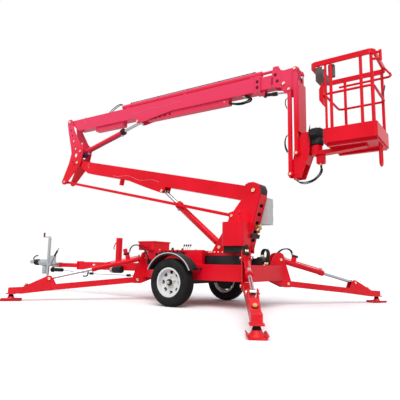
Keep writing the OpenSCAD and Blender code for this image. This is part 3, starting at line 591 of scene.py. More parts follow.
fixed(revolve([
    (0.052, 0.0), (0.060, 0.004), (0.064, 0.022), (0.056, 0.036), (0.064, 0.052), (0.056, 0.068),
    (0.064, 0.084), (0.056, 0.100), (0.062, 0.116), (0.052, 0.130)
], 36), [facing((4.665, 0.0, BALL_Z), AHEAD)], "coupling_boot", black_rubber, "chassis", "black_plastic")
fixed(revolve([
    (0.033, 0.0), (0.058, 0.0), (0.066, 0.006), (0.070, 0.05), (0.070, 0.13), (0.062, 0.15),
    (0.062, 0.20), (0.068, 0.21), (0.068, 0.30), (0.058, 0.34), (0.046, 0.375), (0.033, 0.375)
], 36), [facing((4.275, 0.0, 0.572), AHEAD)], "coupling_housing", galvanised, "chassis", "zinc")
fixed(casting((0.19, 0.17, 0.012), rim=0.016, sink=0.004, edge=0.003),
      [facing((3.955, 0.202, 0.630), LEFT)], "brake_quadrant", galvanised, "chassis", "zinc")
fixed(casting((0.055, 0.17, 0.10), rim=0.008, sink=-0.012, edge=0.006),
      [facing((4.475, 0.0, 0.425), AHEAD)], "coupling_stand", galvanised, "chassis", "zinc")
fixed(revolve([
    (0.0, 0.0), (0.020, 0.0), (0.020, 0.02), (0.034, 0.024), (0.036, 0.04), (0.036, 0.29),
    (0.032, 0.30), (0.048, 0.31), (0.050, 0.315), (0.050, 0.345), (0.046, 0.35), (0.0, 0.35)
], 32), [facing((3.805, 0.05, 0.433), AHEAD)], "overrun_damper", black_rubber, "chassis", "black_plastic")
cooling_ribs = [(0.067 if i % 2 else 0.064, 0.016 + 0.011 * i) for i in range(14)]
fixed(revolve([
    (0.0, -0.012), (0.056, -0.012), (0.064, -0.004), *cooling_ribs, (0.064, 0.180), (0.0, 0.190)
], 40), [facing((2.148, 0.096, 0.480), AHEAD)], "pump_motor", black_steel, "chassis", "black_steel")
fixed(revolve([
    (0.0, 0.0), (0.063, 0.0), (0.065, 0.004), (0.065, 0.040), (0.056, 0.058), (0.030, 0.066),
    (0.026, 0.078), (0.0, 0.080)
], 40), [facing((2.337, 0.096, 0.480), AHEAD)], "pump_bell", galvanised, "chassis", "zinc")
fixed(casting((0.06, 0.045, 0.06), rim=0.008, sink=0.008, edge=0.006), [
    facing((x, 0.050, z), LEFT) for x, z in ((2.015, 0.381), (2.97, 0.387))
], "brake_rod_clamps", black_steel, "chassis", "black_steel")
settle(tube([
    (3.06, 0.055, 0.455), (3.065, 0.055, 0.40), (3.082, 0.055, 0.348), (3.13, 0.055, 0.333),
    (3.20, 0.055, 0.334)
], 0.026), "sleeve_hook", black_rubber, "chassis", "black_plastic")
settle(tube([
    (2.364, 0.02, 0.968), (2.395, 0.02, 0.956), (2.424, 0.02, 0.91), (2.442, 0.02, 0.866),
    (2.432, 0.02, 0.839)
], 0.018), "rest_hook", red_enamel, "chassis", "red_paint")
finger_ribs = [(0.019 if i % 2 else 0.0165, 0.012 + 0.009 * i) for i in range(13)]
grip = revolve([
    (0.0, 0.0), (0.016, 0.0), (0.019, 0.006), *finger_ribs, (0.018, 0.13), (0.012, 0.138), (0.0, 0.14)
], 24)
patterns += [grip]
LEVER_TURN, LEVER_L = math.radians(38), 0.21
lever_way = Vector((-math.sin(LEVER_TURN), 0.0, math.cos(LEVER_TURN)))
lever_end = Vector((4.010, 0.222, BAR_Z + 0.010)) + lever_way * LEVER_L
settle(placed(grip, [facing(lever_end, lever_way)]),
       "brake_lever_grip", black_rubber, "chassis", "black_plastic")
settle(tube([(4.84, 0.0, 0.60), (4.872, 0.0, 0.655), (4.81, 0.0, 0.704), (4.735, 0.0, 0.718)], 0.024),
       "coupling_handle", black_rubber, "chassis", "black_plastic")
M14 = (0.024, 0.018)
settle(placed(hex_bolt, [
    facing((FLANGE_X + 0.018, y, BAR_Z + z), AHEAD, *M12)
    for y in (-0.062, 0.062) for z in (-0.06, 0.064)
] + [
    facing((x, side * 0.05, BAR_Z + z), (0, side, 0), *M14)
    for side in SIDES for x in (4.00, 4.11) for z in (-0.028, 0.03)
]), "drawbar_bolts", yellow_zinc, "chassis", "zinc")
settle(tube([
    (3.81, 0.05, 0.436), (3.60, 0.05, 0.418), (3.0, 0.05, 0.387), (2.0, 0.05, 0.380),
    (1.3, 0.04, 0.37), (0.55, 0.02, 0.36)
], 0.014), "brake_rod", galvanised, "chassis", "zinc")
dark_red = sprayed("dark_red", (0.16, 0.004, 0.012), (0.22, 0.006, 0.018), (0.3, 0.05, 0.06), 0.3)
settle(placed(grip, [facing((4.405, 0.11, 1.105), UP, 1.0, 0.62)]),
       "jack_crank_knob", dark_red, "chassis", "red_paint")

# Power box and valve bank: a folded sheet box on the deck with a rimmed lid and vents; lever
# valves hang on the deck's side, which has a rubber grommet, and small levers, a cap and a
# breather are screwed to the deck.
dress(red_enamel, "power_box")
dress(black_steel, "control_valves")
knob = revolve([
    (0.0, 0.0), (0.008, 0.0), (0.015, 0.010), (0.017, 0.024), (0.013, 0.036), (0.0, 0.040)
], 20)
patterns += [knob]


def coated(piece, finish):
    piece.data.materials.append(finish)
    return piece


LEVER_Y = 0.32
lever_xs = (0.628, 0.588, 0.549, 0.508)
settle(joined([
    coated(joined([
        tube([(x, LEVER_Y, DECK_Z), (x - 0.002, LEVER_Y, 0.84), (x - 0.010, LEVER_Y, 0.872)], 0.007)
        for x in lever_xs
    ]), galvanised),
    coated(placed(knob, [
        facing((x - 0.009, LEVER_Y, 0.866), (-0.5, 0, 1), 0.7, 0.9) for x in lever_xs
    ]), black_plastic),
]), "deck_levers", None, "chassis", "black_plastic")
settle(placed(knob, [facing((0.61, 0.37, DECK_Z), UP, 1.0, 0.75)]),
       "deck_cap", red_enamel, "chassis", "red_paint")
fixed(revolve([
    (0.0, 0.0), (0.024, 0.0), (0.026, 0.004), (0.024, 0.010), (0.018, 0.013), (0.018, 0.028),
    (0.012, 0.037), (0.0, 0.040)
], 28), [facing((0.80, 0.37, DECK_Z), UP)], "deck_breather", black_plastic, "chassis", "black_plastic")
fixed(revolve([
    (0.0, 0.0), (0.028, 0.0), (0.028, 0.006), (0.024, 0.010), (0.018, 0.009), (0.016, 0.002), (0.0, 0.002)
], 32), [facing((1.095, 0.400, 0.747), LEFT)], "deck_grommet", black_rubber, "chassis", "black_plastic")
fixed(casting((0.20, 0.012, 0.010), rim=0.003, sink=0.004, edge=0.002), [
    facing((1.286, 0.440, 0.832 + 0.022 * i), LEFT) for i in range(4)
], "power_box_louvres", red_enamel, "chassis", "red_paint")

# Slewing base: a black drum with a worm motor and its hoses; the red ring above it turns with
# the column and is held by plated bolts.
dress(black_steel, "slew_base")
RING_R, RING_TOP, RING_BOLTS = 0.31, 0.7723, 28
M16 = (0.027, 0.019)
settle(placed(hex_bolt, [
    facing((RING_R * math.cos(a), RING_R * math.sin(a), RING_TOP), UP, *M16)
    for a in (2 * math.pi * i / RING_BOLTS for i in range(RING_BOLTS))
]), "ring_bolts", yellow_zinc, "turntable", "zinc")
crimp = revolve([(0.0, 0.0), (0.5, 0.0), (0.66, 0.25), (0.66, 1.6), (0.56, 1.9), (0.0, 1.9)], 14)
patterns += [crimp]


def hose(name, routes, d, body, far=None, span=None):
    """Black hoses with crimped ends through points measured from the slewing axis."""
    lines, ends = [], []
    for route in routes:
        lines.append(coated(tube(route, d), black_rubber))
        knots = [Vector(p) for p in route]
        for end, inner in ((0, 1), (-1, -2)):
            ends.append(facing(knots[end], knots[inner] - knots[end], d, d))
    lines.append(coated(placed(crimp, ends), yellow_zinc))
    settle(joined(lines), name, None, body, "black_plastic", far, span)


hose("motor_hoses", [
    [(-0.47, y, 0.715), (-0.475, y, 0.80), (-0.53, y + 0.02, 0.835), (-0.585, y + 0.05, 0.79),
     (-0.59, y + 0.08, 0.70), (-0.57, y + 0.1, 0.605)] for y in (-0.15, -0.19, -0.23)
], 0.020, "chassis")

# Column: two profiled plates with a windowed rear web that carries a hose conduit, a valve and
# a terminal box, an oil tank with a filler pipe on the left, a pale cabinet with a hinged door
# on the right, and zinc caps on the pins of boom, links and cylinder.
dress(red_enamel, "turntable_column", "oil_tank")
dress(grey_plastic, "electric_cabinet")
dress(black_plastic, "hose_guide")
P_LOWER, P_LINK, P_LCYL = (-0.481, 1.693), (-0.116, 1.333), (0.099, 0.863)


def pin_caps(name, body, pins):
    """Zinc caps on both ends of pins given as (x and z, half length, cap diameter)."""
    settle(placed(pin_cap, [
        facing((p[0], side * y, p[1]), (0, side, 0), d, CAP_HIGH) for p, y, d in pins for side in SIDES
    ]), name, yellow_zinc, body, "zinc")


pin_caps("column_pins", "turntable", [
    (P_LOWER, 0.129, 0.056), (P_LINK, 0.127, 0.040), (P_LCYL, 0.125, 0.048)
])
fixed(revolve([
    (0.0, 0.0), (0.036, 0.0), (0.036, 0.008), (0.019, 0.012), (0.019, 0.120), (0.026, 0.124),
    (0.026, 0.150), (0.022, 0.158), (0.0, 0.160)
], 32), [facing((-0.33, 0.27, 1.215), UP)], "tank_filler_pipe", red_enamel, "turntable", "red_paint")
# A black block fills the gap between deck and oil tank: a dark piece standing in for the shade in that gap.
gap_shade_pad = slab(0.30, 0.19, 0.094)
press(gap_shade_pad, lambda c, n: abs(n.z) < 0.1, 0.012, -0.01, each=True)
soften(gap_shade_pad, 0.004)
fixed(gap_shade_pad, [facing((-0.25, 0.235, 0.820), UP)],
      "tank_rest", black_steel, "turntable", "black_steel")
WEB_FOOT, WEB_HEAD = Vector((-0.360, 0.0, 0.822)), Vector((-0.583, 0.0, 1.632))
web_run = (WEB_HEAD - WEB_FOOT).normalized()
web_out = Vector((-web_run.z, 0.0, web_run.x))
VALVE_UP, TERMINAL_UP = 0.345, 0.215


def divided(x, y, z, cuts):
    """A slab with its faces cut into smaller ones."""
    made = slab(x, y, z)
    bpy.ops.object.mode_set(mode="EDIT")
    bpy.ops.mesh.select_all(action="SELECT")
    bpy.ops.mesh.subdivide(number_cuts=cuts)
    bpy.ops.object.mode_set(mode="OBJECT")
    return made


conduit = divided(0.19, 0.022, 0.76, 5)
press(conduit, lambda c, n: abs(n.y) > 0.9, 0.004, 0.003, each=True)
web_middle = (WEB_FOOT + WEB_HEAD) / 2 - web_out * 0.030
web_turn = web_run.to_track_quat("Z", "X").to_matrix().to_4x4()
fixed(conduit, [
    Matrix.Translation(in_frame(web_middle)) @ web_turn @ Matrix.Rotation(math.pi / 2, 4, "Z")
], "hose_conduit", black_rubber, "turntable", "black_plastic")
door = slab(0.225, 0.36, 0.02)
soften(door, 0.006)
press(door, lambda c, n: n.z > 0.9, 0.016, 0.004)
fixed(door, [
    Matrix.Translation(in_frame((-0.475, -0.2885, 1.4025))) @ Matrix.Rotation(math.pi / 2, 4, "X")
], "cabinet_door", grey_plastic, "turntable", "grey_plastic")
fixed(revolve([
    (0.0, 0.0), (0.007, 0.0), (0.008, 0.002), (0.008, 0.020), (0.006, 0.021), (0.006, 0.023),
    (0.008, 0.024), (0.008, 0.046), (0.006, 0.047), (0.006, 0.049), (0.008, 0.050), (0.008, 0.068),
    (0.007, 0.070), (0.0, 0.070)
], 16), [facing((-0.592, -0.297, z), UP) for z in (1.26, 1.47)],
    "cabinet_hinges", galvanised, "turntable", "zinc")
fixed(casting((0.03, 0.055, 0.014), rim=0.005, sink=0.005, edge=0.003),
      [facing((-0.382, -0.300, 1.40), (0, -1, 0))],
      "cabinet_latch", black_plastic, "turntable", "black_plastic")
brass = plated("brass", (0.36, 0.26, 0.07), (0.60, 0.48, 0.20), 0.3)
star = begin("cylinder", vertices=20, radius=0.076, depth=0.026, location=(0, 0, 0.055))
bpy.ops.object.transform_apply(location=True, rotation=True, scale=True)
for vertex in star.data.vertices:
    lobe = math.cos(5 * math.atan2(vertex.co.y, vertex.co.x))
    vertex.co.xy *= 0.72 + 0.28 * lobe
press(star, lambda c, n: n.z > 0.9, 0.008, 0.006)
soften(star, 0.003)
stem = revolve([
    (0.0, 0.0), (0.022, 0.0), (0.024, 0.006), (0.024, 0.024), (0.012, 0.030), (0.012, 0.080), (0.0, 0.084)
], 24)
fixed(joined([star, stem]), [facing(WEB_FOOT + web_run * VALVE_UP + web_out * 0.004, web_out)],
      "web_valve", brass, "turntable", "zinc")
fixed(casting((0.22, 0.062, 0.05), rim=0.008, sink=-0.004, edge=0.006), [
    facing(WEB_FOOT + web_run * TERMINAL_UP + web_out * 0.026, web_out)
], "web_terminal_box", black_plastic, "turntable", "black_plastic")

# Lower boom, its level link and lift cylinder: a welded red box section on two plates,
# two link bars pinned below it and a red barrel with a hard-chromed rod.
dress(red_enamel, "lower_boom", "level_link", "lower_barrel")


def chromed(name):
    """Hard chrome: hazy patches and fine lines."""
    place, link = new_finish(name, Metallic=1.0)
    haze = place.noise(11.0, 3.0)
    lines = place.stretched(40.0, 40.0, 40.0).noise(14.0, 1.0)
    bump = place.node("Bump", Height=lines, Strength=0.02, Distance=0.001)
    return link(Base_Color=haze.mix((0.50, 0.52, 0.55), (0.66, 0.68, 0.70)),
                Roughness=0.07 + haze * 0.12 + lines * 0.05, Normal=bump)


chrome = chromed("hard_chrome")
dress(chrome, "lower_rod")
P_KNUCKLE, P_LROD = (3.485, 2.583), (1.284, 1.831)
pin_caps("lower_boom_pins", "lower_boom", [(P_KNUCKLE, 0.128, 0.056), (P_LROD, 0.097, 0.046)])


def beside(a, b, along, off):
    """Point beside the line from a to b in the middle plane, off to its left."""
    run = (Vector(b) - Vector(a)).normalized()
    return a[0] + run.x * along - run.y * off, 0.0, a[1] + run.y * along + run.x * off


gland = revolve([(0.5, 0.0), (0.58, 0.0), (0.60, 0.1), (0.60, 0.5), (0.57, 0.62), (0.5, 0.65)], 36)
port = begin("cube", size=1.0)
soften(port, 0.1)
press(port, lambda c, n: n.z > 0.9, 0.15, 0.3)
patterns += [gland, port]
PIPE_D, PORT = 0.014, (0.036, 0.03)


def cylinder_trim(name, body, a, b, length, across, way, gap, pipe_finish, ring_finish, spot=beside):
    """Oil pipe with its two ports a gap beside a barrel, and the gland ring at its mouth, if any."""
    side = way * (across / 2 - 0.006)
    low, high = 0.10, length - 0.035
    pipe = tube([spot(a, b, along, side + way * off) for along, off in (
        (low, 0.004), (low + 0.01, gap * 0.75), (low + 0.06, gap), (length / 2, gap),
        (high - 0.065, gap), (high - 0.01, gap * 0.75), (high, 0.004),
    )], PIPE_D)
    out = Vector(spot(a, b, 0.5, way)) - Vector(spot(a, b, 0.5, 0.0))
    ports = placed(port, [
        facing(spot(a, b, along, side + way * 0.011), out, *PORT) for along in (low, high)
    ])
    pieces = [coated(pipe, pipe_finish), coated(ports, galvanised)]
    if ring_finish:
        run = Vector(spot(a, b, 1.0, 0.0)) - Vector(spot(a, b, 0.0, 0.0))
        mouth = spot(a, b, length + 0.012 - across * 0.4, 0.0)
        ring = placed(gland, [facing(mouth, run, across * 1.06, across)])
        pieces.append(coated(ring, ring_finish))
    settle(joined(pieces), name, None, body, "black_steel")


cylinder_trim("lower_lift_trim", "lower_barrel", P_LCYL, P_LROD, length=1.12, across=0.106,
              way=-1, gap=0.010, pipe_finish=red_enamel, ring_finish=red_enamel)
# The weld beads are painted paler pink than the enamel: a painted highlight along the beads.
highlight_bead = sprayed("highlight_bead", (0.74, 0.10, 0.16), (0.82, 0.22, 0.28), (0.88, 0.42, 0.46), 0.25)
BEAD_D, BEAD_STEP, BOOM_SIDE = 0.009, 0.06, 0.0855


def seam(name, body, a, b, start, mid, sway, *others):
    """Weld beads on both sides of a boom, in paler pink as a painted highlight: the wavy edge of a doubler plate,
    others by points.
    """
    wave = [(start + BEAD_STEP * i, mid + sway * math.sin(0.62 * i)) for i in range(20)]
    settle(joined([
        tube([(x, side * BOOM_SIDE, z) for x, _, z in (beside(a, b, *spot) for spot in bead)], BEAD_D, 2)
        for side in SIDES for bead in (wave, *others)
    ]), name, highlight_bead, body, "red_paint")


seam("lower_gusset_seam", "lower_boom", P_LOWER, P_KNUCKLE, 1.86, -0.118, 0.022,
     [(3.70, 0.07), (3.752, 0.02), (3.765, -0.03), (3.72, -0.075)])

# Knuckle: two profiled plates with lightening holes that carry the upper boom's pivot and
# the foot of its lift cylinder, with black bolts and a hose clamp; its paint carries a painted highlight, paler pink
# high up.
# boom_enamel carries the painted highlight: paler pink from 2.55 m up
boom_enamel = sprayed("boom_enamel", *RED, painted_highlight=0.7)
dress(boom_enamel, "knuckle")
M10 = (0.020, 0.014)
settle(placed(hex_bolt, [
    facing((x, side * 0.115, z), (0, side, 0), *M10)
    for side in SIDES for x, z in ((3.585, 2.56), (3.645, 2.62), (3.70, 3.18), (3.75, 3.30))
]), "knuckle_bolts", black_steel, "knuckle", "black_steel")
fixed(casting((0.10, 0.09, 0.06), rim=0.012, sink=-0.006, edge=0.006), [facing((3.43, 0.0, 2.737), UP)],
      "knuckle_hose_clamp", black_plastic, "knuckle", "black_plastic")
blue_cap = moulded("blue_cap", (0.015, 0.03, 0.26), (0.03, 0.06, 0.36), 0.3)
fixed(revolve([
    (0.0, 0.0), (0.020, 0.0), (0.022, 0.004), (0.022, 0.040), (0.017, 0.046), (0.017, 0.075),
    (0.012, 0.080), (0.0, 0.080)
], 24), [facing((3.385, 0.02, 2.748), (-0.95, 0, 0.2))],
    "knuckle_coupling", blue_cap, "knuckle", "black_plastic")
P_UPPER, P_UCYL, P_LINK_F = (3.793, 3.482), (3.415, 2.812), (3.850, 2.223)
pin_caps("knuckle_pins", "knuckle", [
    (P_UPPER, 0.126, 0.056), (P_UCYL, 0.124, 0.046), (P_LINK_F, 0.124, 0.040)
])

# Upper boom: a red box section with gussets and a bolted collar, the extension cylinder on top
# with its pipe and hoses, and the inner boom with its bolted head plates.
dress(boom_enamel, "upper_boom", "extension_barrel", "inner_boom", "upper_barrel")
dress(chrome, "upper_rod")
P_UROD, P_HEAD = (1.910, 3.181), (-0.965, 3.240)
pin_caps("upper_boom_pins", "upper_boom", [(P_UROD, 0.097, 0.046)])
pin_caps("inner_boom_pins", "inner_boom", [(P_HEAD, 0.104, 0.046)])
cylinder_trim("upper_lift_trim", "upper_barrel", P_UCYL, P_UROD, length=1.09, across=0.100,
              way=1, gap=0.014, pipe_finish=black_rubber, ring_finish=black_steel)
UPPER_TILT = math.radians(0.84)


def on_upper(x, y, z):
    """Point in the upper boom's own lines: x along it, less than 0 behind its pivot, z up."""
    c, s = math.cos(UPPER_TILT), math.sin(UPPER_TILT)
    return P_UPPER[0] + x * c - z * s, y, P_UPPER[1] + x * s + z * c


upper_back = on_upper(-4.0, 0.0, 0.0)[::2]
seam("upper_gusset_seam", "upper_boom", P_UPPER, upper_back, 1.72, 0.095, 0.018,
     [(0.455, -0.050), (0.415, -0.020), (0.395, 0.015), (0.46, 0.075), (0.49, 0.11)])
hose("extension_feed", [
    [on_upper(x, y, z) for x, z in (
        (-1.02, 0.026), (-1.08, 0.075), (-1.22, 0.150), (-1.33, 0.176), (-1.41, 0.150), (-1.44, 0.128)
    )] for y in (-0.02, 0.02)
], 0.016, "upper_boom")
pipe_run = tube([on_upper(x, 0.0, 0.157) for x in (-1.60, -1.62, -2.5, -3.4, -4.22, -4.25)], 0.012)
clips = placed(port, [
    facing(on_upper(x, 0.0, 0.140), UP, 0.034, 0.022) for x in (-1.62, -2.28, -2.94, -3.58, -4.22)
])
settle(joined([coated(pipe_run, black_rubber), coated(clips, black_steel)]),
       "extension_pipe", None, "upper_boom", "black_steel")
hose("boom_hose_loop", [
    [on_upper(x, y, z) for x, z in (
        (-3.70, -0.235), (-3.80, -0.262), (-3.92, -0.285 - low), (-4.06, -0.290 - low),
        (-4.16, -0.262 - low / 2), (-4.15, -0.228), (-4.05, -0.214)
    )] for y, low in ((-0.045, 0.0), (-0.015, 0.018), (0.015, 0.006), (0.045, 0.022))
], 0.020, "upper_boom")
settle(placed(hex_bolt, [
    facing(on_upper(-4.325, side * 0.0955, z), (0, side, 0), 0.040, 0.014)
    for side in SIDES for z in (-0.140, -0.050)
]), "collar_bolts", dark_red, "upper_boom", "red_paint")
HEAD_Y = 0.0800
settle(placed(hex_bolt, [
    facing(on_upper(-4.565, side * HEAD_Y, z), (0, side, 0), 0.018, 0.012)
    for side in SIDES for z in (-0.13, -0.10, -0.07, -0.04)
] + [
    facing(on_upper(x, side * HEAD_Y, z), (0, side, 0), 0.040, 0.010)
    for side in SIDES for x, z in ((-4.615, 0.002), (-4.648, -0.103))
]), "head_bolts", dark_red, "inner_boom", "red_paint")

# Jib: head plates, a pair of hanging arm bars and link bars, the levelling cylinder under the
# inner boom and the jib cylinder between the bars; short hoses hang on the link bars.
dress(boom_enamel, "jib_head", "jib_arm", "jib_link", "jib_barrel")
dress(black_steel, "level_barrel")
dress(chrome, "level_rod", "jib_rod")
P_ARM, P_JLINK = (-1.152, 3.404), (-1.060, 3.114)
P_ARM_B, P_JLINK_B, P_JROD = (-1.152, 2.161), (-1.060, 1.871), (-1.135, 1.871)
pin_caps("jib_head_pins", "jib_head", [(P_ARM, 0.150, 0.036), (P_JLINK, 0.150, 0.036)])
pin_caps("jib_arm_pins", "jib_arm", [(P_ARM_B, 0.142, 0.036)])
pin_caps("jib_link_pins", "jib_link", [(P_JLINK_B, 0.142, 0.036)])
cylinder_trim("jib_lift_trim", "jib_barrel", P_ARM, P_JROD, length=1.0, across=0.076,
              way=-1, gap=0.014, pipe_finish=black_rubber, ring_finish=None)
hose("jib_hoses", [
    [(-1.034, y, top), (-0.997, y, top - 0.04), (-0.981, y, top - 0.10), (-0.986, y, top - 0.18),
     (-1.012, y, top - 0.25), (-1.034, y, top - 0.285)] for y, top in ((0.110, 2.465), (0.128, 2.445))
] + [
    [(x, 0.12, z) for x, z in (
        (-1.034, 2.995), (-1.006, 2.980), (-0.992, 2.926), (-1.006, 2.865), (-1.034, 2.813)
    )]
], 0.014, "jib_link")

# Basket bracket: a red box of two plates with the black worm rotator that swings the basket.
# Hoses drop from the bracket and loop over to the valve block under the basket's arm.
dress(red_enamel, "basket_bracket")
TURN_X = -1.400
fixed(revolve([
    (0.0, 2.262), (0.088, 2.262), (0.0925, 2.268), (0.0925, 2.345), (0.089, 2.350), (0.089, 2.358),
    (0.0925, 2.363), (0.0925, 2.478), (0.088, 2.492), (0.062, 2.494), (0.058, 2.504), (0.0, 2.506)
], 44), [facing((TURN_X, 0.0, 0.0), UP)], "rotator_case", black_steel, "basket_bracket", "black_steel")
worm_box = slab(0.13, 0.24, 0.10)
soften(worm_box, 0.014, steps=3)
press(worm_box, lambda c, n: abs(n.y) > 0.9, 0.018, 0.03)
press(worm_box, lambda c, n: n.x < -0.9, 0.012, -0.006)
fixed(worm_box, [facing((TURN_X + 0.01, 0.0, 2.415), UP)],
      "rotator_worm_box", black_plastic, "basket_bracket", "black_plastic")
COVER_R, COVER_BOLTS = 0.072, 8
settle(placed(hex_bolt, [
    facing((TURN_X + COVER_R * math.cos(a), COVER_R * math.sin(a), 2.493), UP, *M10)
    for a in (2 * math.pi * i / COVER_BOLTS + 0.2 for i in range(COVER_BOLTS))
]), "rotator_bolts", yellow_zinc, "basket_bracket", "zinc")
hose("bracket_hoses", [
    [(x, y, z) for x, z in (
        (-1.10, 1.82), (-1.115, 1.785), (-1.19, 1.765 - low), (-1.30, 1.772 - low), (-1.40, 1.825 - low),
        (-1.448 - low, 1.90), (-1.455, 1.965), (-1.455, 2.0)
    )] for y, low in ((-0.026, 0.0), (0.0, 0.022), (0.026, 0.006))
], 0.013, "basket_bracket", far="basket", span=((-1.20, 0.0, 1.8), (-1.44, 0.0, 1.9)))

# Basket: a sheet floor with toe boards on a tapered arm, bent rails with a flat top band, a
# console and a switch box; the tread is pressed in lozenges and a strap closes the gate.
dress(red_enamel, "basket_floor", "basket_hub", "basket_toe_boards", "basket_posts",
      "basket_mid_rail", "basket_rails")
dark_plastic = moulded("dark_plastic", (0.095, 0.080, 0.072), (0.16, 0.14, 0.13), 0.4)
dress(dark_plastic, "control_console")
valve_block = slab(0.11, 0.08, 0.116)
press(valve_block, lambda c, n: n.z < -0.9, 0.014, 0.012)
soften(valve_block, 0.004)
fixed(valve_block, [facing((-1.455, 0.0, 2.0595), UP)],
      "basket_valve_block", red_enamel, "basket", "red_paint")
FLOOR_Z, TREAD_STEP, TREAD_ROWS, TREAD_COLS = 2.180, 0.0375, 16, 17
lozenge = slab(0.030, 0.007, 0.0024)
press(lozenge, lambda c, n: n.z > 0.9, 0.0022, 0.0)
fixed(lozenge, [
    facing((-1.635 - TREAD_STEP * row, -0.30 + TREAD_STEP * col, FLOOR_Z + 0.0110), UP)
    @ Matrix.Rotation(math.radians(45 if (row + col) % 2 else -45), 4, "Z")
    for row in range(TREAD_ROWS) for col in range(TREAD_COLS)
], "floor_tread", red_enamel, "basket", "red_paint")
PANEL_X, PANEL_Z = -1.510, FLOOR_Z + 1.12
face_plate = slab(0.062, 0.27, 0.006)
soften(face_plate, 0.002)
press(face_plate, lambda c, n: n.z > 0.9, 0.006, -0.0015)
fixed(face_plate, [facing((PANEL_X, 0.06, PANEL_Z + 0.002), UP)],
      "console_plate", grey_plastic, "basket", "grey_plastic")
fixed(revolve([
    (0.0, 0.0), (0.022, 0.0), (0.024, 0.004), (0.018, 0.010), (0.020, 0.014), (0.013, 0.020),
    (0.014, 0.024), (0.007, 0.032), (0.006, 0.052), (0.012, 0.060), (0.013, 0.082), (0.009, 0.090),
    (0.0, 0.092)
], 24), [facing((PANEL_X, y, PANEL_Z + 0.004), UP, 0.9, 0.75) for y in (-0.03, 0.06, 0.15)],
    "console_sticks", black_rubber, "basket", "black_plastic")
settle(placed(knob, [facing((PANEL_X, 0.175, PANEL_Z + 0.004), UP, 1.1, 0.7)]),
       "stop_button", red_enamel, "basket", "red_paint")
strap = divided(0.005, 0.038, 0.17, 6)
for vertex in strap.data.vertices:
    vertex.co.x += 0.012 * math.sin(18.0 * vertex.co.z)
    vertex.co.y += 0.25 * (vertex.co.z - 0.085)
soften(strap, 0.0012, steps=1, angle=60)
fixed(strap, [facing((-2.266, -0.20, 2.93), UP)],
      "gate_strap", black_rubber, "basket", "black_plastic")
buckle = begin("torus", major_segments=24, minor_segments=8, major_radius=0.020, minor_radius=0.004)
bpy.ops.object.mode_set(mode="EDIT")
bpy.ops.mesh.select_all(action="SELECT")
bpy.ops.transform.resize(value=(1.3, 1.0, 1.0))
bpy.ops.object.mode_set(mode="OBJECT")
fixed(buckle, [facing((-2.268, -0.20, 3.015), (-1, 0, 0))],
      "strap_buckle", galvanised, "basket", "zinc")

# Outriggers: four welded legs with an amber lamp and a ball foot on a dished pad, each set by a
# cylinder with a hard-chromed rod and a lock valve, and fed by two hoses from the chassis.


def lens(name, tint):
    """Clear coloured lamp glass with moulded prisms."""
    place, link = new_finish(name, Coat_Weight=0.6, Coat_Roughness=0.05)
    prism = place.stretched(1.0, 1.0, 160.0).node("TexWave", Scale=1.0)
    bump = place.node("Bump", Height=prism, Strength=0.25, Distance=0.001)
    return link(Base_Color=prism.mix(tint, tuple(min(1.0, c * 1.5 + 0.04) for c in tint)),
                Roughness=0.1 + prism * 0.12, Normal=bump)


amber_lens = lens("amber_lens", (0.75, 0.25, 0.02))
LEG_TOP, LEG_ROD = (-0.1325, 0.692), (1.375, 0.340)
LAMP_U, LAMP_Z, FOOT_U = 1.700, 0.2345, 1.907
dome = revolve([
    (0.0, 0.0), (0.024, 0.0), (0.024, 0.006), (0.021, 0.016), (0.013, 0.024), (0.0, 0.027)
], 24)
lamp_seat = revolve([(0.0, 0.0), (0.034, 0.0), (0.034, 0.005), (0.026, 0.009), (0.0, 0.009)], 24)
ball_boot = revolve([
    (0.0245, 0.062), (0.042, 0.062), (0.043, 0.068), (0.036, 0.074), (0.040, 0.080), (0.034, 0.086),
    (0.036, 0.092), (0.030, 0.098), (0.0245, 0.100)
], 32)
valve_foot = casting((0.070, 0.046, 0.078), rim=0.010, sink=-0.004, edge=0.006)
valve_body = casting((0.092, 0.050, 0.032), rim=0.010, sink=0.002, edge=0.005)
valve_cap = casting((0.066, 0.044, 0.070), rim=0.010, sink=0.004, edge=0.005)
hose_sleeve = casting((0.05, 0.085, 0.07), rim=0.008, sink=0.010, edge=0.008)
patterns += [dome, lamp_seat, ball_boot, valve_foot, valve_body, valve_cap, hose_sleeve]
FRONT_HOSE = (
    (1.247, 0.412, 0.622), (1.222, 0.455, 0.675), (1.242, 0.480, 0.761), (1.357, 0.480, 0.857),
    (1.518, 0.445, 0.892), (1.632, 0.416, 0.858), (1.690, 0.406, 0.768),
)
OTHER_HOSE = (
    (-0.257, 0.606), (-0.238, 0.66), (-0.200, 0.715), (-0.122, 0.807), (-0.011, 0.858), (0.100, 0.842),
    (0.146, 0.768),
)
LOCK_VALVE = (  # along the barrel, off its middle line
    ("lock_valve_foot_", valve_foot, 0.288, 0.0725, red_enamel, "red_paint"),
    ("lock_valve_", valve_body, 0.299, 0.126, black_steel, "black_steel"),
    ("lock_valve_cap_", valve_cap, 0.306, 0.176, red_enamel, "red_paint"),
)
leg_fall = math.atan2(LEG_TOP[1] - LEG_ROD[1], LEG_ROD[0] - LEG_TOP[0])
